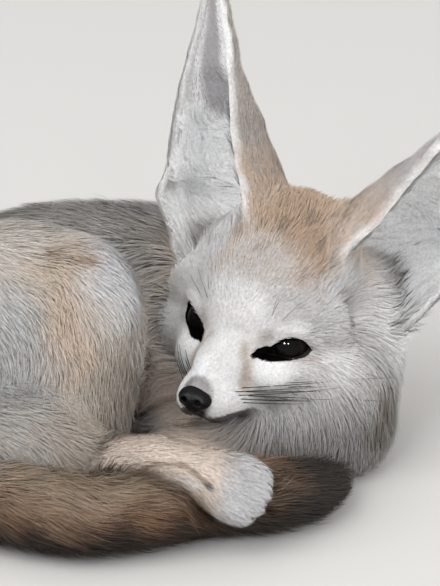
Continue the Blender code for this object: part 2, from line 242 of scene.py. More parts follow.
def slit(h, s):
    """Signed distance, in the plane of the lids, to the opening between them; h is in head axes."""
    e = EYES[s]
    q = h - e["mid"]
    a, b = q @ e["along"], q @ e["over"]
    at, top, bottom = LIDS[s]
    edge = np.maximum(b - np.interp(a, at, top), np.interp(a, at, bottom) - b)
    return np.maximum(edge * 0.8, np.maximum(a - at[-1], at[0] - a)), a, b


MOUTH = [(0.0, 3.22, -2.24), (0.44, 2.90, -2.33), (0.86, 2.1, -2.38), (1.18, 1.2, -2.30), (1.42, 0.4, -2.05)]


def head_parts(P):
    """The head under its fur, with lids and lips, as a distance."""
    h = to_head(P).astype(F)
    ax = None
    r, f, u = h[:, 0], h[:, 1], h[:, 2]

    def e(c, rad):
        return ell(h, c, rad, ax)

    d = e((0, -2.4, 0.75), (3.2, 3.3, 2.65))
    d = smin(d, e((0, -2.9, 1.8), (2.6, 2.3, 1.85)), 0.6)
    d = smin(d, e((0, -4.0, 2.25), (2.5, 2.0, 1.85)), 0.7)
    d = smin(d, e((0, -1.35, -0.35), (3.35, 1.75, 1.9)), 0.6)
    d = smin(d, e((0, -0.45, 0.4), (1.70, 1.72, 1.38)), 0.6)
    for s in (1, -1):
        d = smin(d, e((2.1, -2.75, 1.5), (1.45, 1.7, 1.35)) if s > 0 else e((-1.8, -2.75, 1.4), (1.15, 1.6, 1.25)), 0.6)
        d = smin(d, e((s * 2.45, -1.25, 0.45), (1.45, 1.1, 1.45)), 0.5)
        d = smin(d, e((s * 2.1, -1.75, -1.2), (1.95, 2.05, 1.75)), 0.6)
        d = smin(d, e((s * 1.25, -0.1, -1.15), (1.40, 1.8, 1.25)), 0.5)
        d = smin(d, e((s * 1.55, -0.12, 0.42), (1.0, 0.72, 0.42)), 0.4)       # brow
    d = smin(d, e((0, 0.9, -0.7), (1.12, 1.9, 1.12)), 0.5)
    tube, _ = chain(h, [(0, 0.6, -0.75), (0, 2.0, -1.02), (0, 3.02, -1.30)], np.array([1.12, 0.90, 0.70]))
    d = smin(d, tube, 0.35)
    d = smin(d, e((0, -1.6, -1.7), (2.7, 2.2, 1.45)), 0.6)
    depth = 0.09 + 0.16 * smooth01(-f, -1.2, 0.6) + 0.22 * smooth01(-f, 0.4, 2.5) + 0.16 * smooth01(np.abs(r), 2.0, 3.3)
    d = d + depth
    for s in (1, -1):
        pad = e((s * 0.48, 2.42, -1.74), (0.60, 1.06, 0.76))                   # whisker pad
        d = smin(d, pad, 0.22)
        d = smin(d, e((s * 0.74, 1.35, -1.82), (0.56, 1.25, 0.74)), 0.30)      # upper lip
    jaw, _ = chain(h, [(0, -1.0, -2.2), (0, 1.2, -2.36), (0, 2.50, -2.42)], np.array([1.15, 0.64, 0.26]))
    d = smin(d, jaw, 0.12)
    # the line of the mouth
    for s in (1, -1):
        lip, _ = chain(h, [(r_ * s, f_, u_) for r_, f_, u_ in MOUTH], np.array([0.05, 0.06, 0.06, 0.05, 0.02]))
        d = smax(d, -lip, 0.08)
    philtrum, _ = chain(h, [(0.03, 3.75, -1.62), (0, 3.42, -2.20)], np.array([0.05, 0.05]))
    d = smax(d, -philtrum, 0.06)
    for s in (1, -1):
        eye = EYES[s]
        q = h - eye["c"].astype(F)
        rr = np.sqrt((q * q).sum(1))
        d = smin(d, rr - (EYE_R + 0.075), 0.30)
        gap, a, b = slit(h, s)
        front = (q @ eye["gaze"].astype(F)) < 0
        carve = np.maximum(gap, (EYE_R - 0.14) - rr)
        carve = np.where(front, 1.0, carve)
        d = smax(d, -carve, 0.05)
    return d


# ------------------------------------------------------------------ ears
EAR_LEN = 10.3
EAR_W = {
    1: ((-0.14, 1.7), (0.0, 2.25), (0.17, 2.13), (0.3, 1.82), (0.46, 1.56), (0.57, 1.40), (0.68, 1.12), (0.86, 0.62), (1.0, 0.08)),
    -1: ((-0.14, 2.1), (0.0, 2.35), (0.17, 2.2), (0.3, 2.1), (0.46, 1.9), (0.57, 1.62), (0.68, 1.3), (0.86, 0.72), (1.0, 0.08)),
}
EAR_D = {
    1: ((-0.14, 2.3), (0.0, 3.0), (0.17, 3.2), (0.3, 3.0), (0.46, 2.3), (0.57, 1.35), (0.68, 0.6), (0.86, 0.3), (1.0, 0.08)),
    -1: ((-0.14, 2.6), (0.0, 3.3), (0.17, 3.2), (0.3, 2.5), (0.46, 1.3), (0.57, 0.75), (0.68, 0.5), (0.86, 0.3), (1.0, 0.08)),
}
EAR_A = {
    1: ((-0.14, 118), (0.0, 110), (0.17, 100), (0.4, 94), (1.0, 92)),
    -1: ((-0.14, 105), (0.0, 102), (0.17, 98), (0.4, 94), (1.0, 92)),
}
EAR_X = {
    1: ((-0.14, -1.5), (0.0, -1.15), (0.17, -0.45), (0.4, 0.0), (0.6, -0.07), (0.8, -0.25), (1.0, -0.3)),
    -1: ((-0.14, -0.1), (0.0, -0.2), (0.17, 0.0), (0.4, -0.1), (0.6, -0.38), (0.8, -0.4), (1.0, -0.3)),
}
EARS = {
    1: dict(base=(-0.45, 3.8, 7.2), axis=(0.0, 0.45, 0.893), face=(-0.68, -0.66, 0.31)),
    -1: dict(base=(6.05, 1.5, 6.9), axis=(0.64, 0.1125, 0.76), face=(0.35, -0.85, 0.10)),
}
for s, ear in EARS.items():
    a = unit(ear["axis"])
    o = np.array(ear["face"])
    o = unit(o - a * (o @ a))
    ear.update(a=a, o=o, side=np.cross(o, a) * s, base=np.array(ear["base"]))


def table(rows, t):
    xs = np.array([r[0] for r in rows])
    ys = np.array([r[1] for r in rows])
    i = np.clip(np.searchsorted(xs, t) - 1, 0, len(xs) - 2)
    k = np.clip((t - xs[i]) / (xs[i + 1] - xs[i]), 0, 1)
    k = k * k * (3 - 2 * k) * 0.5 + k * 0.5
    return ys[i] + (ys[i + 1] - ys[i]) * k


def ear_coords(P, s):
    """t along the ear, phi round it (+ towards the outer rim), and signed height off the middle sheet (+ is the back)."""
    e = EARS[s]
    q = P - e["base"]
    z, x, y = q @ e["a"], q @ e["side"], q @ e["o"]
    t = np.clip(z / EAR_LEN, -0.14, 1.0)
    w, d, A = table(EAR_W[s], t), table(EAR_D[s], t), np.radians(table(EAR_A[s], t))
    x = x - table(EAR_X[s], t)
    w = w + (0.34 * np.exp(-(((t - 0.2) / 0.055) ** 2)) - 0.28 * (1 - smooth01(t, 0.02, 0.16))) * np.clip(x / w, 0, 1) ** 2
    k0 = np.sqrt((x / w) ** 2 + (y / d) ** 2)
    k1 = np.sqrt((x / w ** 2) ** 2 + (y / d ** 2) ** 2)
    off = k0 * (k0 - 1) / np.maximum(k1, 1e-6)
    phi = np.arctan2(x / w, -y / d)
    sgn = np.sign(phi)
    rim = np.sqrt((x - w * np.sin(A) * sgn) ** 2 + (y + d * np.cos(A)) ** 2)
    past = np.abs(phi) > A
    flat = np.where(past, rim, np.abs(off))
    end = z - t * EAR_LEN
    dist = np.sqrt(flat ** 2 + end ** 2)
    return t, phi, A, off, dist, past


def sd_ear(P, s):
    t, phi, A, off, dist, past = ear_coords(P, s)
    thick = 0.25 - 0.04 * smooth01(t, 0.3, 1.0) - 0.03 * smooth01(phi / A, 0.5, 0.9) + 0.10 * np.exp(-(((t - 0.2) / 0.09) ** 2)) * smooth01(phi / A, 0.45, 0.7)
    return (dist - thick / 2) * 0.93


# ------------------------------------------------------------------ groups and the whole
def sd_neck(P):
    pts, rad = route([hd(0, -3.0, -0.2), (3.5, 2.5, 4.6), (3.9, 2.5, 3.6)], [2.6, 2.95, 2.95], 4)
    d, _ = chain(P, pts, rad)
    return smin(d, ell(P, (2.9, 0.3, 3.2), (3.3, 2.9, 2.8)), 0.8) + 0.62


def sd_chest(P):
    d = ell(P, (3.5, 0.9, 2.9), (3.4, 3.6, 3.0))
    d = smin(d, ell(P, (4.0, 3.2, 3.9), (3.1, 3.4, 3.5)), 0.8)
    d = smin(d, ell(P, (3.8, 0.3, 1.3), (2.95, 3.0, 1.9)), 0.5)
    return smin(d, ell(P, (2.2, -1.4, 1.9), (2.9, 2.2, 2.1)), 0.5) + 0.66


def sd_trunk(P):
    d, _ = chain(P, TRUNK_P, TRUNK_RAD)
    d = smin(d, ell(P, (-6.2, 1.5, 2.8), (4.0, 3.2, 2.9)), 0.6)
    d = smin(d, ell(P, (-1.7, 2.4, 2.1), (3.2, 2.2, 2.1)), 0.6)
    return smin(d, ell(P, (-10.9, -1.6, 3.6), (2.6, 2.6, 2.9)), 0.8) + 0.55


def sd_thigh_r(P):
    d = ell(P, (-7.6, -1.1, 5.85), (4.9, 3.3, 4.45))
    d = smin(d, ell(P, (-5.0, -2.1, 7.1), (2.15, 2.4, 3.0)), 0.8)
    d = smin(d, ell(P, (-5.35, -2.5, 4.7), (2.4, 2.7, 3.7)), 0.7)
    d = smin(d, ell(P, (-7.2, -4.0, 3.1), (3.6, 2.5, 2.5)), 0.8)
    return smin(d, ell(P, (-5.7, -5.0, 2.7), (1.7, 1.5, 1.5)), 0.6) + 0.46


def sd_thigh_l(P):
    return ell(P, (-7.0, -1.2, 1.6), (4.2, 3.0, 1.9)) + 0.4


TAIL_SKIN = 0.80


def sd_tail(P):
    d, _ = chain(P, TAIL_P, TAIL_RAD - TAIL_SKIN)
    return d


NAMES = ["head", "ear_r", "ear_l", "neck", "chest", "trunk", "thigh_r", "thigh_l", "hind_foot_r", "hind_foot_l", "fore_leg_r", "fore_leg_l", "tail"]
FUNCS = {
    "head": head_parts, "ear_r": lambda P: sd_ear(P, 1), "ear_l": lambda P: sd_ear(P, -1), "neck": sd_neck, "chest": sd_chest,
    "trunk": sd_trunk, "thigh_r": sd_thigh_r, "thigh_l": sd_thigh_l,
    "hind_foot_r": lambda P: sd_leg(P, "hind_foot_r", 0.20), "hind_foot_l": lambda P: sd_leg(P, "hind_foot_l", 0.22),
    "fore_leg_r": lambda P: sd_leg(P, "fore_leg_r", 0.25), "fore_leg_l": lambda P: sd_leg(P, "fore_leg_l", 0.25),
    "tail": sd_tail,
}
BOXES = {
    "head": ((-4.5, -6.5, 1.5), (7.5, 7.0, 11.5)), "ear_r": ((-4.0, -0.5, 4.5), (4.8, 9.8, 18.0)), "ear_l": ((2.0, -4.5, 4.0), (15.0, 6.5, 16.5)),
    "neck": ((-3.0, -5.0, -1.0), (9.0, 8.0, 10.0)), "chest": ((-2.5, -5.5, -1.0), (9.0, 8.5, 9.0)), "trunk": ((-15.5, -6.5, -1.0), (7.5, 12.0, 10.0)),
    "thigh_r": ((-14.5, -9.0, -1.0), (-1.0, 4.5, 12.0)), "thigh_l": ((-13.0, -6.0, -1.0), (-1.0, 4.0, 5.5)),
    "hind_foot_r": ((-7.0, -10.0, -0.5), (4.0, -3.0, 6.0)), "hind_foot_l": ((-8.5, -8.0, -1.0), (2.5, -1.0, 4.0)),
    "fore_leg_r": ((-6.5, -6.0, -1.0), (6.0, 2.0, 4.5)), "fore_leg_l": ((-6.0, -3.5, -1.0), (6.5, 5.0, 4.5)), "tail": ((-16.0, -11.0, -1.0), (7.0, 1.5, 6.5)),
}
FAR = 3.0
FLOOR_Z = 0.10


def join(g, z):
    """All groups in one form; g maps a group to its distance."""
    up = smin(smin(g["head"], g["ear_r"], 0.30), g["ear_l"], 0.30)
    core = smin(smin(g["chest"], g["neck"], 0.9), g["trunk"], 1.0)
    core = smin(core, up, 0.6)
    core = smin(core, g["thigh_l"], 0.3)
    core = smin(core, g["thigh_r"], 0.40)
    for leg_name in ("hind_foot_r", "hind_foot_l", "fore_leg_r", "fore_leg_l"):
        core = smin(core, g[leg_name], 0.14 if leg_name.startswith("hind") else 0.6)
    core = smin(core, g["tail"], 0.14)
    return smax(core, FLOOR_Z - z, 0.15)


def groups_at(P):
    P = P.astype(F)
    out = {}
    for name in NAMES:
        lo, hi = BOXES[name]
        m = np.all((P > np.array(lo, F)) & (P < np.array(hi, F)), axis=1)
        d = np.full(len(P), FAR, F)
        if m.any():
            d[m] = FUNCS[name](P[m])
        out[name] = d
    return out


def sdf(P):
    return join(groups_at(P), P[:, 2].astype(F))


def sdf_grad(P, e=0.03):
    k = np.array([[1, -1, -1], [-1, -1, 1], [-1, 1, -1], [1, 1, 1]], float)
    vals = [sdf(P + e * row) for row in k]
    g = sum(v[:, None] * row for v, row in zip(vals, k)) / (4 * e)
    return sum(vals) / 4, g


H = 0.115
LO = np.array([-15.0, -10.6, -0.35])
HI = np.array([14.6, 11.2, 18.0])


def whole_grid():
    n = np.ceil((HI - LO) / H).astype(int) + 1
    g = {}
    axes = [LO[i] + H * np.arange(n[i]) for i in range(3)]
    for name in NAMES:
        d = np.full(n, FAR, F)
        lo, hi = (np.array(v) for v in BOXES[name])
        a = np.clip(np.floor((lo - LO) / H).astype(int), 0, n)
        b = np.clip(np.ceil((hi - LO) / H).astype(int), 0, n)
        X, Y, Z = np.meshgrid(*[axes[i][a[i] : b[i]].astype(F) for i in range(3)], indexing="ij")
        P = np.stack([X.ravel(), Y.ravel(), Z.ravel()], axis=1)
        d[a[0] : b[0], a[1] : b[1], a[2] : b[2]] = np.minimum(FUNCS[name](P).reshape(X.shape), FAR)
        g[name] = d
    Z = np.broadcast_to(axes[2].astype(F)[None, None, :], n)
    return join(g, Z)


def surface_nets(S, lo, h):
    I = S < 0
    shape = tuple(v - 1 for v in S.shape)
    corners = [(i, j, k) for i in (0, 1) for j in (0, 1) for k in (0, 1)]
    count = np.zeros(shape, np.uint8)
    for i, j, k in corners:
        count += I[i : i + shape[0], j : j + shape[1], k : k + shape[2]]
    act = (count > 0) & (count < 8)
    ids = np.full(shape, -1, np.int32)
    cells = np.argwhere(act)
    ids[act] = np.arange(len(cells))
    acc, num = np.zeros((len(cells), 3)), np.zeros(len(cells))
    for a in corners:
        for axis in range(3):
            if a[axis]:
                continue
            b = list(a)
            b[axis] = 1
            sa = S[cells[:, 0] + a[0], cells[:, 1] + a[1], cells[:, 2] + a[2]]
            sb = S[cells[:, 0] + b[0], cells[:, 1] + b[1], cells[:, 2] + b[2]]
            m = (sa < 0) != (sb < 0)
            t = sa[m] / (sa[m] - sb[m])
            p = np.tile(np.array(a, float), (m.sum(), 1))
            p[:, axis] += t
            acc[m] += p
            num[m] += 1
    V = lo + h * (cells + acc / num[:, None])
    quads = []
    for axis in range(3):
        u, v = (axis + 1) % 3, (axis + 2) % 3
        sl0, sl1 = [slice(None)] * 3, [slice(None)] * 3
        sl0[axis], sl1[axis] = slice(0, -1), slice(1, None)
        a, b = I[tuple(sl0)], I[tuple(sl1)]
        e = np.argwhere(a != b)
        ok = (e[:, u] > 0) & (e[:, v] > 0) & (e[:, u] < S.shape[u] - 1) & (e[:, v] < S.shape[v] - 1)
        e = e[ok]
        solid = a[e[:, 0], e[:, 1], e[:, 2]]
        ring = []
        for du, dv in ((-1, -1), (0, -1), (0, 0), (-1, 0)):
            c = e.copy()
            c[:, u] += du
            c[:, v] += dv
            ring.append(ids[c[:, 0], c[:, 1], c[:, 2]])
        q = np.stack(ring, axis=1)
        q[~solid] = q[~solid][:, ::-1]
        quads.append(q)
    return V, np.concatenate(quads)


def mesh_of(name, V, faces, size):
    """V in cm; faces is a flat list of corners and size is how many corners each face has."""
    me = bpy.data.meshes.new(name)
    me.vertices.add(len(V))
    me.vertices.foreach_set("co", ((V + SHIFT) * CM).astype(F).ravel())
    me.loops.add(len(faces))
    me.loops.foreach_set("vertex_index", faces.astype(np.int32))
    starts = np.concatenate([[0], np.cumsum(size)[:-1]]).astype(np.int32)
    me.polygons.add(len(size))
    me.polygons.foreach_set("loop_start", starts)
    me.polygons.foreach_set("loop_total", size.astype(np.int32))
    me.update(calc_edges=True)
    return me


def place(name, me):
    obj = bpy.data.objects.new(name, me)
    bpy.context.scene.collection.objects.link(obj)
    return obj


def verts_of(me):
    co = np.empty(len(me.vertices) * 3, F)
    me.vertices.foreach_get("co", co)
    return co.reshape(-1, 3).astype(float) / CM - SHIFT


GRID = whole_grid()
note("grid %s" % (GRID.shape,))
V, Q = surface_nets(GRID, LO, H)
note("nets %d %d" % (len(V), len(Q)))


def settle(V, rounds=2, cap=0.06):
    for _ in range(rounds):
        d, g = sdf_grad(V)
        gg = np.maximum((g * g).sum(1), 0.25)
        step = np.clip(d / gg, -cap, cap)
        V = V - g * step[:, None]
    return V


V = settle(V)
note("settled")
skin_me = mesh_of("skin", V, Q.ravel(), np.full(len(Q), 4))
# finer faces where the face is
bm = bmesh.new()
bm.from_mesh(skin_me)


def refine(bm, test, rounds):
    for _ in range(rounds):
        co = np.array([v.co[:] for v in bm.verts]) / CM - SHIFT
        keep = test(co)
        bm.verts.ensure_lookup_table()
        edges = [e for e in bm.edges if keep[e.verts[0].index] and keep[e.verts[1].index]]
        bmesh.ops.subdivide_edges(bm, edges=edges, cuts=1, use_grid_fill=True)
        bm.verts.index_update()


def near_face(P):
    h = to_head(P)
    return (h[:, 1] > -0.9) & (np.abs(h[:, 0]) < 3.4) & (h[:, 2] < 1.3) & (h[:, 2] > -3.0) & (np.linalg.norm(h, axis=1) < 5.0)


def near_eyes(P):
    h = to_head(P)
    out = np.zeros(len(P), bool)
    for s in (1, -1):
        g, a, b = slit(h, s)
        q = h - EYES[s]["c"]
        out |= (g < 0.22) & (q @ EYES[s]["gaze"] > 0.2) & (np.linalg.norm(q, axis=1) < 1.5)
    return out


refine(bm, near_face, 1)
refine(bm, near_eyes, 1)
bm.to_mesh(skin_me)
bm.free()
V = settle(verts_of(skin_me), 3, 0.04)
skin_me.vertices.foreach_set("co", ((V + SHIFT) * CM).astype(F).ravel())
skin_me.update()
skin_me.shade_smooth()
note("skin %d verts %d faces" % (len(skin_me.vertices), len(skin_me.polygons)))
skin = place("skin", skin_me)
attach(skin, "root")


# ------------------------------------------------------------------ smooth random fields
LATTICE = rng.random((32, 32, 32)).astype(F)


def noise(P, scale, shift=0.0):
    """Smooth values from 0 to 1; scale may be one number or one for each axis."""
    q = P * np.asarray(scale) + shift
    i = np.floor(q).astype(np.int32)
    f = (q - i).astype(F)
    f = f * f * (3 - 2 * f)
    a, b = i & 31, (i + 1) & 31
    out = 0
    for ix, wx in ((a[:, 0], 1 - f[:, 0]), (b[:, 0], f[:, 0])):
        for iy, wy in ((a[:, 1], 1 - f[:, 1]), (b[:, 1], f[:, 1])):
            for iz, wz in ((a[:, 2], 1 - f[:, 2]), (b[:, 2], f[:, 2])):
                out = out + LATTICE[ix, iy, iz] * wx * wy * wz
    return out


def swirl(P, scale, shift=0.0):
    return np.stack([noise(P, scale, shift + 3.1 * k) for k in range(3)], axis=1) - 0.5


FIELD = np.concatenate([GRID[..., None], np.stack(np.gradient(GRID, H), axis=-1)], axis=-1).astype(F).reshape(-1, 4)
GN = np.array(GRID.shape)


def sample(P):
    """Height above the skin and the way out of it, read from the grid."""
    q = np.clip((P - LO) / H, 0, GN - 1.001)
    i = q.astype(np.int32)
    f = (q - i).astype(F)
    base = (i[:, 0] * GN[1] + i[:, 1]) * GN[2] + i[:, 2]
    out = 0
    for dx, wx in ((0, 1 - f[:, 0]), (1, f[:, 0])):
        for dy, wy in ((0, 1 - f[:, 1]), (1, f[:, 1])):
            for dz, wz in ((0, 1 - f[:, 2]), (1, f[:, 2])):
                out = out + FIELD[base + (dx * GN[1] + dy) * GN[2] + dz] * (wx * wy * wz)[:, None]
    return out[:, 0], out[:, 1:]


def flat_on(v, n):
    """v laid into the surface whose normal is n."""
    return unit(v - n * (v * n).sum(1, keepdims=True))


def near_line(P, pts):
    """Distance to a line through the points."""
    return chain(P, pts, np.zeros(len(pts)))[0]


# ------------------------------------------------------------------ which way, how long and how thick the coat lies
def tangents(path, where):
    seg = np.diff(path, axis=0)
    seg = seg / np.linalg.norm(seg, axis=1, keepdims=True)
    at = np.clip(where - 0.5, 0, len(seg) - 1)
    i = np.floor(at).astype(int)
    j = np.minimum(i + 1, len(seg) - 1)
    k = (at - i)[:, None]
    return seg[i] * (1 - k) + seg[j] * k


def head_coat(P, N):
    h = to_head(P)
    r, f, u = h.T
    s = np.where(r > 0, 1.0, -1.0)
    ar = np.abs(r)
    L = unit(h - np.array([0, 4.6, -1.0]))
    ruff = smooth01(ar, 1.9, 3.1) * smooth01(-u, -0.4, 1.0)
    L = L + ruff[:, None] * np.stack([s * 0.35, -0.1 + 0 * s, -0.75 + 0 * s], axis=1)
    crown = smooth01(-f, 0.6, 2.0) * smooth01(u, 0.8, 2.2)
    L = L + crown[:, None] * np.array([0, -0.9, 0.0])
    ear_root = smooth01(ar, 1.3, 2.3) * smooth01(u, 0.6, 1.6) * smooth01(-f, 0.3, 1.8)
    flare = smooth01(ar, 2.7, 3.4) * smooth01(-f, 0.2, 0.9) * (1 - smooth01(-f, 1.8, 2.8)) * (1 - smooth01(u, 1.0, 1.9))
    L = L + flare[:, None] * np.stack([s * 0.9, 0.2 + 0 * s, -0.1 + 0 * s], axis=1)
    L = L + ear_root[:, None] * np.stack([s * 0.3, 0 * s, 0.8 + 0 * s], axis=1)
    long = 0.20 + 0.12 * smooth01(-f, -2.2, -0.6) + 0.40 * smooth01(-f, -0.3, 1.8) + 0.30 * smooth01(-f, 1.6, 3.2) + 0.75 * ruff + np.where(r > 0, 0.45, 0.20) * ear_root + 0.25 * flare
    deep = 0.09 + 0.16 * smooth01(-f, -1.2, 0.6) + 0.22 * smooth01(-f, 0.4, 2.5) + 0.16 * smooth01(ar, 2.0, 3.3)
    wide = 0.021 + 0.009 * smooth01(-f, -0.5, 2.2)
    dens = 560 - 290 * smooth01(-f, -0.5, 2.2)
    clump = 0.08 + 0.22 * smooth01(-f, 0.0, 2.5)
    return L @ HM.T, long, deep, wide, dens, clump


def ear_coat(P, N, s):
    t, phi, A, off, dist, past = ear_coords(P, s)
    e = EARS[s]
    sg = np.where(phi > 0, 1.0, -1.0)[:, None]
    m = np.clip(np.abs(phi) / A, 0, 1.3)
    rim = smooth01(m - 0.05 * smooth01(off, -0.03, 0.05), 0.88, 0.97)
    inner = smooth01(-off, -0.01, 0.04) * (1 - rim)
    back_l = e["a"] + sg * e["side"] * 0.12
    turn = np.radians(np.interp(phi / A, (-1.0, 0.0, 0.6, 1.0), (-6.0, 4.0, 18.0, 55.0)) + (0.0 if s > 0 else 26.0))
    cross = 1 - smooth01(t, 0.42, 0.50)
    turn = (turn * cross + 1.35 * (1 - cross))[:, None]
    inner_l = e["side"] * np.cos(turn) + e["a"] * np.sin(turn) + e["o"] * (0.18 * m)[:, None]
    rim_l = e["a"] * 1.0 - sg * e["side"] * 0.75 + e["o"] * 0.25
    L = back_l * (1 - inner - rim)[:, None] + inner_l * inner[:, None] + rim_l * rim[:, None]
    narrow = 1 - 0.72 * smooth01(t, 0.35, 0.95)
    long = (0.60 - 0.30 * t) * (1 - inner - rim) + ((1.00 + 0.55 * smooth01(m, 0.30, 0.85)) * cross + 0.36 * (1 - cross)) * (0.35 + 0.65 * narrow) * inner + (0.58 * (0.6 + 0.4 * narrow)) * rim
    deep = 0.13 * (1 - inner - rim) + (0.08 + (0.06 + 0.22 * smooth01(m, 0.3, 0.8)) * cross) * inner + 0.10 * rim
    wide = 0.024 + (0.004 + 0.016 * cross) * inner
    dens = 250 * (1 - inner - rim) + (190 - 60 * cross + 40 * smooth01(m, 0.35, 0.85)) * inner + 560 * rim
    clump = 0.15 + 0.55 * inner * cross
    return L, long, deep, wide + 0 * t, dens, clump


def flat_coat(n, *values):
    return [np.full(n, v) for v in values]


def coat(P, N, W):
    """Everything about the tufts that grow at P, mixed from the parts of the body near it."""
    n = len(P)
    lie, long, deep, wide, dens, clump = np.zeros((n, 3)), *(np.zeros(n) for _ in range(5))
    for k, name in enumerate(NAMES):
        m = W[:, k] > 0.02
        if not m.any():
            continue
        p, nn, w = P[m], N[m], W[m, k]
        c = len(p)
        if name == "head":
            L, a, b, d, e, g = head_coat(p, nn)
        elif name in ("ear_r", "ear_l"):
            L, a, b, d, e, g = ear_coat(p, nn, 1 if name == "ear_r" else -1)
        elif name == "neck":
            L = unit((p - np.array([2.2, 0.8, 5.5])) * np.array([1, 1, 0.5])) + np.array([0, 0, -0.9])
            a, b, d, e, g = flat_coat(c, 1.7, 0.60, 0.036, 205, 0.12)
        elif name == "chest":
            L = unit((p - np.array([3.2, 1.5, 4.5])) * np.array([1, 1, 0.4]))
            L = L + np.array([0, 0, -0.85]) * smooth01(p[:, 2], 0.2, 1.6)[:, None]
            a, b, d, e, g = flat_coat(c, 1.7, 0.62, 0.036, 205, 0.12)
        elif name == "trunk":
            _, where = chain(p, TRUNK_P, TRUNK_RAD)
            L = -tangents(TRUNK_P, where) + np.array([0, 0, -0.45])
            a, b, d, e, g = flat_coat(c, 1.45, 0.55, 0.036, 150, 0.20)
            a = a * (1 - 0.6 * blob(p, (-2.1, 0.7, 1.9), (2.3, 1.7, 1.5)))
        elif name == "thigh_r":
            side = 0.38 - 0.76 * smooth01(p[:, 0], -9.0, -4.2)
            over = smooth01(nn[:, 2], 0.0, 0.7)
            L = np.stack([side * (1 - over) + 1.5 * over, np.full(c, -0.35), np.full(c, -1.0)], axis=1)
            a, b, d, e, g = flat_coat(c, 1.20, 0.46, 0.033, 250, 0.10)
        elif name == "thigh_l":
            L = np.tile([-0.4, -0.3, -0.8], (c, 1))
            a, b, d, e, g = flat_coat(c, 1.2, 0.40, 0.036, 90, 0.4)
        elif name == "tail":
            _, where = chain(p, TAIL_P, TAIL_RAD)
            L = tangents(TAIL_P, where) + np.array([0, 0, -0.22])
            a, b, d, e, g = flat_coat(c, 2.0, TAIL_SKIN, 0.032, 290, 0.42)
            a = a * (0.8 + 0.2 * smooth01(where, 0, 6)) * (1 - 0.55 * smooth01(nn[:, 1], 0.1, 0.6) * (1 - smooth01(where, 12, 15)))
        else:
            path, rad = LEG_P[name]
            _, where = chain(p, path, rad)
            centre, fwd, side, down = toe_frame(name)
            end = smooth01(where, len(path) - 2.5, len(path) - 1.0)[:, None]
            L = tangents(path, where) * (1 - end) + fwd * end
            hind = name.startswith("hind")
            a, b, d, e, g = flat_coat(c, 0.50 if hind else 0.46, 0.20 if hind else 0.20, 0.026, 330, 0.15)
            if not hind:
                up = 1 - smooth01(where, 0, len(path) - 4)
                a, b, e = a + 0.8 * up, b + 0.05 * up, e - 120 * up
        lie[m] += unit(L) * w[:, None]
        long[m] += a * w
        deep[m] += b * w
        wide[m] += d * w
        dens[m] += e * w
        clump[m] += g * w
    return flat_on(lie, N), long, deep, wide, dens, clump


# ------------------------------------------------------------------ colour patterns with painted light and shade, for skin and coat alike
WHITE, CREAM, SANDY, TAN = ((0.80, 0.785, 0.775), (0.60, 0.53, 0.44), (0.56, 0.43, 0.31), (0.525, 0.365, 0.245))
GREY, BACK, BROWN, DARK = ((0.47, 0.455, 0.44), (0.315, 0.29, 0.265), (0.30, 0.20, 0.125), (0.032, 0.026, 0.022))
RUST, PINK, SKIN_EAR, BLACK = ((0.33, 0.195, 0.115), (0.70, 0.595, 0.51), (0.70, 0.64, 0.63), (0.0025, 0.002, 0.002))


def mix(c, other, k):
    k = np.clip(k, 0, 1)[:, None]
    return c * (1 - k) + np.asarray(other) * k


def blob(P, at, size, soft=0.45):
    q = np.sqrt((((P - np.asarray(at)) / size) ** 2).sum(1))
    return 1 - smooth01(q, 1 - soft, 1 + soft)


BEAK = [(1.38, 0.68, -0.22), (1.19, 0.99, -0.24), (1.02, 1.30, -0.27)]


def eye_edge(h):
    """Distance from the nearer slit between the lids, large on the far side of the head."""
    out = np.full(len(h), 9.0)
    for s in (1, -1):
        e = EYES[s]
        gap, a, b = slit(h, s)
        q = h - e["c"]
        ok = (q @ e["gaze"] > 0) & (np.linalg.norm(q, axis=1) < 1.6)
        out = np.where(ok, np.minimum(out, gap), out)
    sides = np.where(h[:, :1] > 0, 1.0, -1.0) * np.array([1.0, 0, 0]) + np.array([0, 1.0, 1.0])
    d, where = chain(h * sides, BEAK, np.array([0.17, 0.15, 0.08]))
    return np.minimum(out, d)


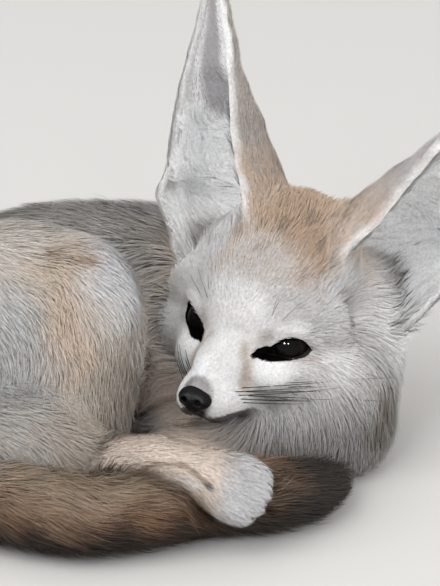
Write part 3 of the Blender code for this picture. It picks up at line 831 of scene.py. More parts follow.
def colours_and_shading(P, N, W, in_coat):
    """Colour of the coat, or of the skin under it, with its patterns and some painted light and shade, and how far its
    tips darken (0 to 1).
    """
    n = len(P)
    out, tip = np.zeros((n, 3)), np.zeros(n)
    warp = P + swirl(P, 0.9) * 0.7 + swirl(P, 2.6, 5.0) * 0.25
    fine = noise(P, 2.2, 11.0)
    for k, name in enumerate(NAMES):
        m = W[:, k] > 0.02
        if not m.any():
            continue
        p, q, w, nz, fn = P[m], warp[m], W[m, k], N[m, 2], fine[m]
        c = len(p)
        col = np.tile(np.array(WHITE), (c, 1))
        tp = np.zeros(c)
        if name == "head":
            h, hw = to_head(p), to_head(q)
            s = np.where(h[:, 0] > 0, 1.0, -1.0)
            mir = h * np.stack([s, 1 + 0 * s, 1 + 0 * s], axis=1)
            mw = hw * np.stack([s, 1 + 0 * s, 1 + 0 * s], axis=1)
            # grey on the near side of the face only, behind and below the eye and on the temple: painted shade on the
            # side turned from the key light
            col = mix(col, GREY, 0.42 * (s < 0) * smooth01(-mw[:, 1], 0.2, 2.2) * smooth01(mw[:, 0], 1.6, 3.0) * (1 - smooth01(mw[:, 2], 0.8, 2.0)))
            col = mix(col, GREY, 0.20 * (s < 0) * smooth01(-mw[:, 1], -0.6, 0.6) * smooth01(mw[:, 2], 0.2, 1.4))
            col = mix(col, GREY, 0.55 * (s < 0) * blob(mir, (2.6, 0.6, -1.5), (1.4, 1.5, 0.75)))
            crown = smooth01(-hw[:, 1] + 0.9 * (fn - 0.5), 0.0, 1.7) * (1 - smooth01(np.abs(hw[:, 0] + 0.55), 1.35, 2.25)) * smooth01(hw[:, 2], 1.2, 2.0)
            col = mix(col, TAN, 0.92 * crown)
            # darker lower rear of the head on the near side: painted shade on the ruff under the head
            col = col * (1 - 0.46 * (s < 0) * smooth01(-mw[:, 2], 1.2, 2.5) * smooth01(-mw[:, 1], -0.9, 0.6))[:, None]
            # slightly darker forehead: painted shade
            col = col * (1 - 0.19 * smooth01(-mir[:, 1], -1.0, 0.4) * smooth01(mir[:, 2], 0.0, 0.9))[:, None]
            # whiter lower face on the far side only: painted light, as if bounced up from the ground
            col = mix(col, (0.93, 0.93, 0.93), 0.85 * (s > 0) * smooth01(-mw[:, 2], -0.2, 0.5) * (1 - smooth01(-mw[:, 1], 0.3, 1.5)))
            back_head = smooth01(-hw[:, 1], 3.0, 4.6)
            col = mix(col, SANDY, 0.9 * back_head)
            streak = noise(np.stack([h[:, 0] * 4.2, h[:, 1] * 1.5, h[:, 2] * 1.5], axis=1), 1.0, 2.0)
            tp = crown * smooth01(streak, 0.58, 0.75) * 0.9
            soft = noise(np.stack([h[:, 0] * 3.6, h[:, 1] * 0.8, h[:, 2] * 1.3], axis=1), 1.0, 17.0)
            col = mix(col, (0.52, 0.49, 0.47), 0.46 * smooth01(soft, 0.46, 0.70) * smooth01(-mir[:, 1], -1.2, 0.3) * (1 - crown))
            fade = smooth01(-hw[:, 1], -0.5, 1.2) * (1 - crown) * smooth01(hw[:, 2], 0.9, 1.8)
            col = mix(col, SANDY, 0.35 * fade * (1 - smooth01(np.abs(hw[:, 0] + 0.3), 1.2, 2.2)))
            stripe = near_line(mir, [(0.70, 1.48, 0.02), (0.80, 1.66, -0.22), (0.90, 1.76, -0.55), (0.98, 1.82, -0.90), (0.98, 2.02, -1.20)])
            col = mix(col, (0.42, 0.315, 0.235), 0.66 * (1 - smooth01(stripe + 0.20 * (fn - 0.5), 0.04, 0.42)))
            brow = near_line(mir, [(1.00, 0.98, 0.02), (1.20, 0.76, 0.36)])
            col = mix(col, (0.36, 0.31, 0.25), 0.45 * (1 - smooth01(brow, 0.05, 0.42)))
            under = blob(mir, (1.80, 1.20, -0.80), (0.75, 0.7, 0.42))
            col = mix(col, (0.90, 0.89, 0.88), 0.9 * under)
            corner = near_line(mir, [(2.75, -0.35, 0.08), (3.1, -0.9, 0.05)])
            col = mix(col, GREY, 0.5 * (1 - smooth01(corner, 0.1, 0.4)))
            edge = eye_edge(h)
            col = mix(col, (0.50, 0.45, 0.42), 0.45 * (1 - smooth01(edge, 0.06, 0.22)))
            if not in_coat:
                col = mix(col, BLACK, 1 - smooth01(edge, 0.055, 0.10))
            # dark lip rim along the mouth line; below the line the band is wider, painted shadow under the upper lip
            lip, along_lip = chain(mir, MOUTH, np.zeros(len(MOUTH)))
            band = np.where(mir[:, 2] < np.interp(along_lip, np.arange(len(MOUTH)), [m_[2] for m_ in MOUTH]), 0.30, 0.08)
            col = mix(col, (0.070, 0.055, 0.052), 0.92 * (1 - smooth01(lip, band, band + 0.12)) * (1 - smooth01(along_lip, 2.2, 3.6)))
            edge_low = np.interp(mir[:, 1], (1.3, 1.8, 2.35, 2.9), (2.22, 2.07, 1.97, 1.88))
            lips = smooth01(-mir[:, 2] - edge_low + 0.05 * (fn - 0.5), 0.0, 0.08) * (1 - smooth01(-mir[:, 2], 2.44, 2.56)) * smooth01(mir[:, 1], 1.2, 1.9)
            col = mix(col, (0.070, 0.055, 0.052), 0.92 * lips)
            nose = near_line(h, [(0.05, 3.35, -1.2), (0.05, 3.3, -1.8)])
            col = mix(col, (0.13, 0.11, 0.105), 0.7 * (1 - smooth01(nose, 0.44, 0.60)))
            spots = np.sin(mir[:, 1] * 15 + 1.0) * np.sin(mir[:, 2] * 15 + 0.4)
            pad = blob(mir, (0.9, 2.45, -1.45), (0.5, 0.75, 0.35))
            col = mix(col, GREY, 0.5 * pad * smooth01(spots, 0.3, 0.9))
        elif name in ("ear_r", "ear_l"):
            t, phi, A, off, dist, past = ear_coords(p, 1 if name == "ear_r" else -1)
            ma = np.clip(np.abs(phi) / A, 0, 1.3)
            outside = smooth01(off, -0.03, 0.05)
            start = 0.83 - 0.06 * (phi > 0) - 0.20 * smooth01(t, 0.42, 0.52) * (phi < 0)
            start = start + (np.where(phi < 0, 0.965, 0.86) - start) * outside
            rim = smooth01(ma + 0.05 * (fn - 0.5), start, start + 0.08)
            inner = smooth01(-off, -0.01, 0.04) * (1 - rim)
            low_back, high_back = ((0.60, 0.455, 0.335), (0.475, 0.425, 0.385)) if name == "ear_r" else ((0.70, 0.58, 0.49), (0.62, 0.585, 0.57))
            backc = mix(np.tile(np.array(low_back), (c, 1)), high_back, smooth01(t + 0.2 * (fn - 0.5), 0.05, 0.45))
            if in_coat:
                innerc = mix(np.tile(np.array((0.97, 0.965, 0.965)), (c, 1)), (0.40, 0.385, 0.395), 0.90 * (1 - smooth01(np.abs(phi / A - 0.24), 0.18, 0.46)) * smooth01(t, 0.42, 0.54))
            else:
                innerc = mix(np.tile(np.array(SKIN_EAR), (c, 1)), (0.22, 0.18, 0.17), 0.75 * (1 - smooth01(t, -0.08, 0.07)) * (1 - smooth01(ma, 0.25, 0.62)))
                innerc = mix(innerc, (0.84, 0.82, 0.82), smooth01(ma, 0.05, 0.45) * (1 - smooth01(t, 0.44, 0.54)))
                innerc = mix(innerc, (0.40, 0.38, 0.385), 0.85 * (1 - smooth01(np.abs(phi / A - 0.24), 0.18, 0.46)) * smooth01(t, 0.42, 0.54))
            col = backc * (1 - inner - rim)[:, None] + innerc * inner[:, None] + np.array((0.84, 0.83, 0.82)) * rim[:, None]
        elif name in ("neck", "chest"):
            col = np.tile(np.array((0.58, 0.555, 0.53)), (c, 1))
            col = mix(col, (0.62, 0.54, 0.46), smooth01(-q[:, 0], -1.8, 0.3))
            col = mix(col, SANDY, 0.75 * smooth01(q[:, 1], 2.2, 4.2))
            col = mix(col, BACK, 0.5 * smooth01(q[:, 1], 4.5, 6.5) * smooth01(q[:, 2], 3.5, 5.5))
            for at, size in (((2.58, -2.77, 2.51), (1.2, 1.0, 0.55)), ((4.0, -2.2, 1.75), (1.0, 1.0, 0.6)), ((5.8, -0.8, 3.2), (0.8, 0.9, 0.9))):
                col = mix(col, (0.36, 0.285, 0.225), 0.55 * blob(q, at, size))
            shade = np.interp(q[:, 2] + 0.35 * (fn - 0.5), (1.2, 3.4, 4.4, 5.4), (0.44, 0.45, 0.68, 0.95))
            col = col * (shade + (1 - shade) * smooth01(q[:, 1], 1.5, 4.0))[:, None]
            col = mix(col, (0.72, 0.71, 0.70), 0.92 * blob(p, (5.8, 1.9, 5.9), (2.1, 2.4, 2.1)))
            # dark patch at the near ear's base: painted shade in the ear's opening
            col = mix(col, (0.20, 0.175, 0.155), 0.80 * blob(p, (6.12, 2.4, 6.30), (0.62, 1.0, 0.30)))
            tp = 0.02 + 0 * tp
        elif name == "trunk":
            col = np.tile(np.array(BACK), (c, 1))
            col = mix(col, GREY, 0.45 * smooth01(noise(p, (1.1, 1.1, 1.6), 4.0), 0.5, 0.8))
            # cream low on the flank, reaching higher on the side facing the camera: the belly's paler colour, lightened
            # and raised as painted light where the flank lies in shade between haunch and head
            near_side = smooth01(-N[m, 1], -0.2, 0.35) * smooth01(q[:, 0], -8.5, -5.5)
            low = (1 - smooth01(q[:, 2], 4.6, 7.2)) * near_side + (1 - smooth01(q[:, 2], 1.4, 4.2)) * (1 - near_side)
            col = mix(col, (0.80, 0.71, 0.62), 0.95 * low)
            rump = smooth01(-q[:, 0], 8.5, 11.5)
            col = mix(col, SANDY, 0.6 * rump * (1 - low))
            col = mix(col, SANDY, 0.35 * smooth01(q[:, 1], 6.5, 9.0) * (1 - smooth01(q[:, 2], 4.0, 7.5)))
            # pale blob in the deep hollow between haunch, trunk and foreleg, with its dark tips taken off: painted
            # light against the shade there
            painted_light_nook = blob(p, (-2.1, 0.7, 1.9), (2.3, 1.7, 1.5))
            col = mix(col, (0.93, 0.80, 0.70), 0.9 * painted_light_nook)
            tp = (0.34 + 0 * tp) * (1 - 0.9 * low) * (1 - painted_light_nook)
        elif name in ("thigh_r", "thigh_l"):
            col = np.tile(np.array((0.575, 0.515, 0.435)), (c, 1))
            col = mix(col, SANDY, 0.75 * blob(q, (-6.2, -2.9, 8.9), (1.7, 1.5, 1.3)))
            col = mix(col, (0.58, 0.425, 0.30), 0.75 * blob(q, (-5.6, -4.0, 7.3), (1.2, 1.2, 1.7)))
            col = mix(col, (0.60, 0.585, 0.56), 0.80 * blob(q, (-4.1, -2.5, 9.3), (1.4, 1.7, 1.5)))
            col = mix(col, (0.50, 0.485, 0.455), 0.75 * blob(q, (-8.0, -3.7, 6.6), (1.9, 1.7, 2.4)))
            col = mix(col, (0.40, 0.325, 0.25), 0.70 * blob(q, (-3.9, -4.0, 5.3), (1.1, 1.5, 2.3)))
            col = mix(col, (0.55, 0.43, 0.32), 0.6 * blob(q, (-5.4, -5.4, 4.2), (1.3, 1.2, 1.2)))
            # brown line along a crease on top of the haunch: painted shade of the crease
            fold_shade = near_line(p, [(-6.9, -2.05, 9.45), (-6.1, -2.4, 9.62), (-5.2, -2.7, 9.5)])
            col = mix(col, BROWN, 0.85 * (1 - smooth01(fold_shade, 0.05, 0.28)))
            col = mix(col, SANDY, 0.5 * smooth01(-q[:, 0], 9.5, 12.0))
            # darker towards the bottom of the haunch: painted shade under the light from above; the last factor cools
            # the tone
            col = col * np.interp(q[:, 2] + 0.5 * (fn - 0.5), (2.5, 4.4, 5.8, 7.2, 9.0), (0.62, 0.70, 0.86, 1.00, 1.04))[:, None] * np.array((0.97, 1.0, 1.07))
            tp = 0.03 + 0.28 * blob(q, (-8.0, -3.7, 6.6), (2.0, 1.8, 2.6)) + 0.10 * blob(q, (-5.8, -4.0, 7.6), (1.5, 1.5, 2.0))
        elif name == "tail":
            _, where = chain(p, TAIL_P, TAIL_RAD)
            col = np.tile(np.array(RUST), (c, 1))
            # sandy patches only where the tail faces up: painted light from above
            col = mix(col, SANDY, 0.55 * smooth01(noise(p, 1.3, 9.0), 0.45, 0.8) * smooth01(nz, -0.2, 0.6))
            col = mix(col, (0.54, 0.39, 0.26), 0.8 * (1 - smooth01(where, 3.0, 8.0)))
            # lighter where the tail faces up, most towards its root: painted light on its top
            col = mix(col, (0.54, 0.375, 0.245), 0.60 * smooth01(-q[:, 0], 3.5, 7.0) * smooth01(nz, 0.1, 0.8))
            col = mix(col, (0.565, 0.455, 0.345), 0.75 * smooth01(nz, 0.50, 0.92) * smooth01(-q[:, 0], 2.0, 5.0))
            # near black where the tail faces down and towards the camera: painted shade on its underside
            col = mix(col, (0.055, 0.042, 0.036), 0.95 * (1 - smooth01(nz + 0.25 * (fn - 0.5), -0.32, 0.42)) * (1 - smooth01(N[m, 1], 0.0, 0.5)))
            # the whole tail darker: partly its deeper rust colour, partly painted shade
            col = col * np.array((0.58, 0.55, 0.51))
            col = mix(col, DARK, smooth01(where + 1.2 * (fn - 0.5), 19.9, 22.4))
            tp = 0.24 + 0.25 * smooth01(fn, 0.5, 0.8)
        else:
            col = np.tile(np.array(PINK), (c, 1))
            centre, fwd, side, down = toe_frame(name)
            reach = (q - centre) @ fwd
            # the left foreleg lighter and pinker: painted light where it shows in the shaded hollow by the trunk
            if name == "fore_leg_l":
                col = mix(col, (0.88, 0.76, 0.67), np.full(c, 0.8))
            # grey towards the toes: their white darkened as painted shade
            col = mix(col, (0.55, 0.54, 0.54), smooth01(reach, -1.5, -0.5))
            if name == "hind_foot_r":
                # brownish lower side of the foot: painted shade on its underside
                low = blob(q, (-2.6, -7.4, 2.55), (1.9, 0.9, 0.55))
                col = mix(col, (0.50, 0.395, 0.30), 0.75 * low)
                col = mix(col, (0.80, 0.76, 0.72), 0.8 * blob(p, (-1.35, -7.55, 3.1), (0.65, 0.5, 0.22)))
                mark = near_line(p, [(-3.2, -6.70, 3.10), (-2.40, -6.98, 3.56), (-1.62, -7.16, 3.62), (-1.05, -7.42, 3.46), (-0.74, -7.56, 3.22)])
                col = mix(col, (0.30, 0.21, 0.145), 0.85 * (1 - smooth01(mark, 0.02, 0.14)))
                spot = near_line(p, [(-0.68, -7.60, 3.14), (-0.55, -7.64, 3.08)])
                col = mix(col, DARK, 0.85 * (1 - smooth01(spot, 0.04, 0.16)))
            tp = tp + 0.05
        out[m] += col * w[:, None]
        tip[m] += tp * w
    return out, tip


# ------------------------------------------------------------------ the skin's own data
def weights(P):
    g = groups_at(P)
    d = np.stack([g[name] for name in NAMES], axis=1)
    d = d - d.min(axis=1, keepdims=True)
    w = np.exp(-d / 0.22)
    return (w / w.sum(axis=1, keepdims=True)).astype(F)


VN = np.empty(len(skin_me.vertices) * 3, F)
skin_me.vertices.foreach_get("normal", VN)
VN = VN.reshape(-1, 3).astype(float)
VW = weights(V)
note("weights")


def add_colour(me, rgb, name="tint"):
    a = me.color_attributes.new(name, "FLOAT_COLOR", "POINT")
    a.data.foreach_set("color", np.concatenate([rgb, np.ones((len(rgb), 1))], axis=1).astype(F).ravel())


skin_rgb, _ = colours_and_shading(V, VN, VW, False)
head_w = VW[:, NAMES.index("head")] + VW[:, NAMES.index("ear_r")] + VW[:, NAMES.index("ear_l")]
add_colour(skin_me, skin_rgb * (0.94 + 0.04 * head_w)[:, None])
note("skin colour")

# ------------------------------------------------------------------ where the tufts grow
lie_v, long_v, deep_v, wide_v, dens_v, clump_v = coat(V, VN, VW)
h_v = to_head(V)
dens_v = dens_v * np.where(eye_edge(h_v) < 0.05, 0.0, 1.0)
dens_v = dens_v * smooth01(near_line(h_v, [(0.05, 3.6, -1.2), (0.05, 3.6, -1.75)]), 0.42, 0.56)
groove = near_line(h_v * np.where(h_v[:, :1] > 0, [1.0, 1, 1], [-1.0, 1, 1]), MOUTH)
dens_v = dens_v * smooth01(groove, 0.08, 0.18)
open_d, _ = sample(V + VN * 1.3)
dens_v = dens_v * (0.30 + 0.70 * smooth01(open_d, 0.15, 0.95))
dens_v = dens_v * np.where((VN[:, 2] < -0.5) & (V[:, 2] < 0.9), 0.22, 1.0)

skin_me.calc_loop_triangles()
TRI = np.empty(len(skin_me.loop_triangles) * 3, np.int32)
skin_me.loop_triangles.foreach_get("vertices", TRI)
TRI = TRI.reshape(-1, 3)
tri_area = np.linalg.norm(np.cross(V[TRI[:, 1]] - V[TRI[:, 0]], V[TRI[:, 2]] - V[TRI[:, 0]]), axis=1) / 2
want = tri_area * dens_v[TRI].mean(axis=1)
note("area %.0f cm2, tufts wanted %.0f" % (tri_area.sum(), want.sum()))
TUFTS = 335000
cum = np.cumsum(want)
pick = np.searchsorted(cum, (np.arange(TUFTS) + rng.random(TUFTS)) / TUFTS * cum[-1])
pick = np.clip(pick, 0, len(TRI) - 1)
ab = rng.random((TUFTS, 2))
flip = ab.sum(1) > 1
ab[flip] = 1 - ab[flip]
bary = np.stack([1 - ab.sum(1), ab[:, 0], ab[:, 1]], axis=1)
T3 = TRI[pick]


def spread(values):
    return (values[T3] * bary.reshape(TUFTS, 3, *([1] * (values.ndim - 1)))).sum(axis=1)


ROOT, RN, RW = spread(V), unit(spread(VN)), spread(VW)
lie, long, deep, wide, _, clump = coat(ROOT, RN, RW)
tint, darken = colours_and_shading(ROOT, RN, RW, True)
note("roots")

# neighbouring locks part and cross a little
angle = (noise(ROOT, 1.1, 2.0) - 0.5) * 0.9 + (noise(ROOT, 3.8, 8.0) - 0.5) * 0.45 + rng.normal(0, 0.14, TUFTS)
angle *= np.clip(long / 0.9, 0.35, 1.0)
side = np.cross(RN, lie)
lie = unit(lie * np.cos(angle)[:, None] + side * np.sin(angle)[:, None])
long = long * rng.uniform(0.72, 1.18, TUFTS)
lift = rng.uniform(0.55, 1.15, TUFTS)
lift = np.where(rng.random(TUFTS) < 0.04, lift * 1.25, lift)
reach = np.minimum(deep, 0.62 * long) * lift
SHORT = long < 0.62


def march(pick, steps, heights):
    """Centre lines of the picked tufts, following the skin at the given heights."""
    p, n, d = ROOT[pick] - RN[pick] * 0.02, RN[pick], lie[pick]
    pts, ways, step = [p], [n], (long[pick] / steps)[:, None]
    for k in range(steps):
        rise = (reach[pick] * (heights[k] - (heights[k - 1] if k else 0)))[:, None]
        go = np.sqrt(np.maximum(step ** 2 - rise ** 2, (0.5 * step) ** 2))
        q = p + d * go + n * rise
        dist, grad = sample(q)
        ok = np.linalg.norm(grad, axis=1) > 0.3
        nn = np.where(ok[:, None], unit(grad), n)
        nn = unit(nn + 0.35 * n)
        off = np.clip(reach[pick] * heights[k] - dist, -0.30, 0.30) * np.where(ok, 0.8, 0)
        off = np.maximum(off, -0.5 * step[:, 0])
        q = q + nn * off[:, None]
        d = flat_on(unit(q - p) * 0.6 + d * 0.4, nn)
        n = nn
        pts.append(q)
        ways.append(nn)
        p = q
    return np.stack(pts, axis=1), np.stack(ways, axis=1)


def nearest_guides(points, guides):
    """Index of the nearest guide to each point, found with a KD tree of the guides."""
    tree_pts = guides
    from mathutils.kdtree import KDTree
    tree = KDTree(len(tree_pts))
    for i, p in enumerate(tree_pts):
        tree.insert(p, i)
    tree.balance()
    return np.array([tree.find(p)[1] for p in points])


def clumped(pick, pts):
    g = rng.choice(len(pick), max(1, len(pick) // 11), replace=False)
    near = g[nearest_guides(pts[:, 0], pts[g, 0])]
    gap = np.linalg.norm(pts[near, 0] - pts[:, 0], axis=1)
    pull = clump[pick] * np.clip(1.6 - gap / 0.5, 0, 1) * (near != np.arange(len(pick)))
    agree = ((pts[near, -1] - pts[near, 0]) * (pts[:, -1] - pts[:, 0])).sum(1) > 0
    pull = pull * agree
    out = pts.copy()
    for k in range(1, pts.shape[1]):
        s = k / (pts.shape[1] - 1)
        out[:, k] += (pts[near, k] - pts[:, k]) * (pull * s ** 1.3)[:, None]
    return out


def keep_clear(pts):
    """Shortens the tufts that would reach over the eyes."""
    h0, h1, h2 = (to_head(pts[:, k]) for k in (0, -1, pts.shape[1] // 2))
    near = (np.linalg.norm(h0 - np.array([0, 0.2, -0.2]), axis=1) < 4.0) & (h0[:, 1] > -1.6)
    d0, d1, d2 = (np.where(near, 9.0, 9.0) for _ in range(3))
    d0[near], d1[near], d2[near] = eye_edge(h0[near]), eye_edge(h1[near]), eye_edge(h2[near])
    worst = np.minimum(d1, d2)
    cut = near & (worst < 0.06) & (d0 > worst)
    scale = np.where(cut, np.clip((d0 - 0.06) / np.maximum(d0 - worst, 1e-3), 0.14, 1.0), 1.0)
    return pts[:, :1] + (pts - pts[:, :1]) * scale[:, None, None]


# ------------------------------------------------------------------ a flat copy of the skin's shape, for the tufts' baked colours
low = place("unwrap", skin_me.copy())
thin = low.modifiers.new("thin", "DECIMATE")
thin.ratio = min(1.0, 9000 / len(TRI))
low_me = bpy.data.meshes.new_from_object(low.evaluated_get(bpy.context.evaluated_depsgraph_get()))
low.modifiers.clear()
low.data = low_me
for o in bpy.context.view_layer.objects:
    o.select_set(False)
low.select_set(True)
bpy.context.view_layer.objects.active = low
bpy.ops.object.mode_set(mode="EDIT")
bpy.ops.mesh.select_all(action="SELECT")
bpy.ops.uv.smart_project(angle_limit=math.radians(60), island_margin=0.003)
bpy.ops.object.mode_set(mode="OBJECT")
low_me = low.data
low_me.calc_loop_triangles()
lt = np.empty(len(low_me.loop_triangles) * 3, np.int32)
low_me.loop_triangles.foreach_get("vertices", lt)
ll = np.empty(len(low_me.loop_triangles) * 3, np.int32)
low_me.loop_triangles.foreach_get("loops", ll)
luv = np.empty(len(low_me.loops) * 2, F)
low_me.uv_layers.active.data.foreach_get("uv", luv)
lt, luv = lt.reshape(-1, 3), luv.reshape(-1, 2)[ll].reshape(-1, 3, 2)
lv = verts_of(low_me)
bvh = BVHTree.FromPolygons(lv.tolist(), lt.tolist())
hits = [bvh.find_nearest(p) for p in ROOT.tolist()]
face = np.array([h[2] for h in hits])
spot = np.array([h[0][:] for h in hits])
A, B, C = (lv[lt[face, k]] for k in range(3))
v0, v1, v2 = B - A, C - A, spot - A
d00, d01, d11 = (v0 * v0).sum(1), (v0 * v1).sum(1), (v1 * v1).sum(1)
d20, d21 = (v2 * v0).sum(1), (v2 * v1).sum(1)
den = np.maximum(d00 * d11 - d01 * d01, 1e-12)
bv, bw = (d11 * d20 - d01 * d21) / den, (d00 * d21 - d01 * d20) / den
ROOT_UV = luv[face, 0] * (1 - bv - bw)[:, None] + luv[face, 1] * bv[:, None] + luv[face, 2] * bw[:, None]
ROOT_UV = np.clip(ROOT_UV, 0.002, 0.998)
bpy.data.objects.remove(low)
note("unwrap")


# ------------------------------------------------------------------ meshes of tufts
def tuft_mesh(name, pick, pts, ways):
    """Flat tapering ribbons along the centre lines pts (n, k+1, 3)."""
    n, k1 = pts.shape[:2]
    k = k1 - 1
    seg = unit(np.diff(pts, axis=1))
    along = np.concatenate([seg[:, :1], unit(seg[:, 1:] + seg[:, :-1]), seg[:, -1:]], axis=1)
    roll = rng.normal(0, 0.11, n)
    up = RN[pick]
    taper = {2: (0.80, 1.0), 3: (0.75, 1.0, 0.72)}[k]
    V3 = np.empty((n, 2 * k + 1, 3))
    col = np.empty((n, 2 * k + 1, 3))
    facing = np.empty((n, 2 * k + 1, 3))
    base = tint[pick] * rng.normal(1.0, 0.035, (n, 1))
    base = base * (1 + 0.10 * (noise(ROOT[pick], 3.0, 6.0) - 0.5))[:, None]
    warm = rng.normal(0, 0.02, n)
    base = np.clip(base * (1 + warm[:, None] * np.array([1, 0, -1])), 0.004, 0.92)
    dark = (rng.random(n) < darken[pick]) * rng.uniform(0.45, 0.95, n)
    root_c = base * root_tone[pick][:, None] * np.array([1.0, 0.99, 0.98])
    tip_c = base * 1.06 * (1 - dark)[:, None] + np.array([0.05, 0.04, 0.032]) * dark[:, None]
    for j in range(k1):
        s = j / k
        c = root_c + (base - root_c) * min(1, s * 1.6)
        c = c + (tip_c - c) * max(0, (s - 0.45) / 0.55)
        if j < k:
            w = unit(np.cross(along[:, j], up))
            b = np.cross(w, along[:, j])
            w = w * np.cos(roll)[:, None] + b * np.sin(roll)[:, None]
            half = (wide[pick] * taper[j] / 2)[:, None]
            V3[:, 2 * j] = pts[:, j] - w * half
            V3[:, 2 * j + 1] = pts[:, j] + w * half
            out = np.cross(along[:, j], w) * -1.0
            out = out * np.sign((out * ways[:, j]).sum(1))[:, None]
            facing[:, 2 * j] = facing[:, 2 * j + 1] = unit(out * 0.25 + ways[:, j] * 0.75 + open_way[pick])
            col[:, 2 * j] = col[:, 2 * j + 1] = c
        else:
            V3[:, 2 * k] = pts[:, k]
            col[:, 2 * k] = c
            facing[:, 2 * k] = facing[:, 2 * k - 1]
    V3[:, :, 2] = np.maximum(V3[:, :, 2], 0.05)
    m = 2 * k + 1
    face = []
    size = []
    for j in range(k - 1):
        face += [2 * j, 2 * j + 1, 2 * j + 3, 2 * j + 2]
        size.append(4)
    face += [2 * k - 2, 2 * k - 1, 2 * k]
    size.append(3)
    faces = (np.arange(n)[:, None] * m + np.array(face)[None]).ravel()
    me = mesh_of(name, V3.reshape(-1, 3), faces, np.tile(size, n))
    add_colour(me, col.reshape(-1, 3))
    uv = np.empty((n, m, 2))
    for j in range(k):
        uv[:, 2 * j] = ROOT_UV[pick] + np.array([-0.0015, -0.0015 + 0.003 * j / k])
        uv[:, 2 * j + 1] = ROOT_UV[pick] + np.array([0.0015, -0.0015 + 0.003 * j / k])
    uv[:, 2 * k] = ROOT_UV[pick] + np.array([0.0, 0.0015])
    layer = me.uv_layers.new(name="OFBake")
    layer.data.foreach_set("uv", uv.reshape(-1, 2)[faces].astype(F).ravel())
    me.shade_smooth()
    me.normals_split_custom_set_from_vertices(facing.reshape(-1, 3).astype(F))
    return me


REGIONS = {
    "face": (["head"], "coat_cream"), "ears": (["ear_r", "ear_l"], "coat_sand"), "front": (["neck", "chest", "fore_leg_r", "fore_leg_l"], "coat_cream"),
    "back": (["trunk"], "coat_grey"), "haunch": (["thigh_r", "thigh_l"], "coat_sand"), "feet": (["hind_foot_r", "hind_foot_l"], "coat_cream"),
    "tail": (["tail"], "tail_rust"),
}
part_of = RW.argmax(axis=1)
# the long hair inside the ears is darker at its root, so that its strands show
root_tone = np.full(TUFTS, 0.98)
open_way = np.zeros((TUFTS, 3))
for s, k in ((1, NAMES.index("ear_r")), (-1, NAMES.index("ear_l"))):
    m = part_of == k
    t, phi, A, off, dist, past = ear_coords(ROOT[m], s)
    root_tone[m] = np.where((off < -0.02) & (np.abs(phi) / A < 0.82), 0.80, 0.98)
    open_way[m] = EARS[s]["o"] * np.where((off < -0.02) & (np.abs(phi) / A < 0.95), 0.9, 0.0)[:, None]
pieces = []
MOST = 190000
for region, (parts, slot_name) in REGIONS.items():
    inside = np.isin(part_of, [NAMES.index(v) for v in parts])
    for kind, steps, heights in (("fine", 2, (0.66, 1.0)), ("long", 3, (0.48, 0.82, 1.0))):
        idx = np.flatnonzero(inside & (SHORT if kind == "fine" else ~SHORT))
        if not len(idx):
            continue
        pts, ways = march(idx, steps, heights)
        pts = clumped(idx, pts)
        if region == "face":
            pts = keep_clear(pts)
        most = MOST // (2 * steps - 1)
        for c in range(math.ceil(len(idx) / most)):
            lo_i, hi_i = c * most, min(len(idx), (c + 1) * most)
            label = f"coat_{region}_{kind}" + (f"_{c + 1}" if len(idx) > most else "")
            obj = place(label, tuft_mesh(label, idx[lo_i:hi_i], pts[lo_i:hi_i], ways[lo_i:hi_i]))
            pieces.append((obj, slot_name, (hi_i - lo_i) * (2 * steps - 1), parts))
note("tufts: %d pieces, %d triangles" % (len(pieces), sum(p[2] for p in pieces)))
for obj, slot_name, tris, parts in pieces:
    print("   ", obj.name, tris)


# ------------------------------------------------------------------ materials
def link(tree, a, b):
    tree.links.new(a, b)


def coat_material(name, rough=0.74, fine=900.0, bump=0.0, tint_low=0.86, tint_high=1.12):
    mat = bpy.data.materials.new(name)
    mat.use_nodes = True
    t = mat.node_tree
    bsdf = t.nodes["Principled BSDF"]
    bsdf.inputs["Specular IOR Level"].default_value = 0.18
    col = t.nodes.new("ShaderNodeAttribute")
    col.attribute_type, col.attribute_name = "GEOMETRY", "tint"
    place_node = t.nodes.new("ShaderNodeTexCoord")
    grain = t.nodes.new("ShaderNodeTexNoise")
    grain.inputs["Scale"].default_value = fine
    grain.inputs["Detail"].default_value = 2.0
    ramp = t.nodes.new("ShaderNodeMapRange")
    ramp.inputs["From Min"].default_value, ramp.inputs["From Max"].default_value = 0.3, 0.7
    ramp.inputs["To Min"].default_value, ramp.inputs["To Max"].default_value = tint_low, tint_high
    mul = t.nodes.new("ShaderNodeVectorMath")
    mul.operation = "SCALE"
    link(t, place_node.outputs["Object"], grain.inputs["Vector"])
    link(t, grain.outputs["Fac"], ramp.inputs["Value"])
    link(t, col.outputs["Color"], mul.inputs[0])
    link(t, ramp.outputs["Result"], mul.inputs["Scale"])
    link(t, mul.outputs["Vector"], bsdf.inputs["Base Color"])
    shine = t.nodes.new("ShaderNodeMapRange")
    shine.inputs["To Min"].default_value, shine.inputs["To Max"].default_value = rough - 0.08, rough + 0.10
    link(t, grain.outputs["Fac"], shine.inputs["Value"])
    link(t, shine.outputs["Result"], bsdf.inputs["Roughness"])
    if bump:
        b = t.nodes.new("ShaderNodeBump")
        b.inputs["Strength"].default_value = bump
        b.inputs["Distance"].default_value = 0.0006
        link(t, grain.outputs["Fac"], b.inputs["Height"])
        link(t, b.outputs["Normal"], bsdf.inputs["Normal"])
    return mat


skin_me.materials.clear()
skin_mat = coat_material("skin", 0.80, 1500.0, 0.6, 0.80, 1.15)
skin_mat.node_tree.nodes["Principled BSDF"].inputs["Specular IOR Level"].default_value = 0.0
skin_me.materials.append(skin_mat)
coat_mat = coat_material("coat")
for obj, slot_name, tris, parts in pieces:
    obj.data.materials.append(coat_mat)
    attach(obj, "root")

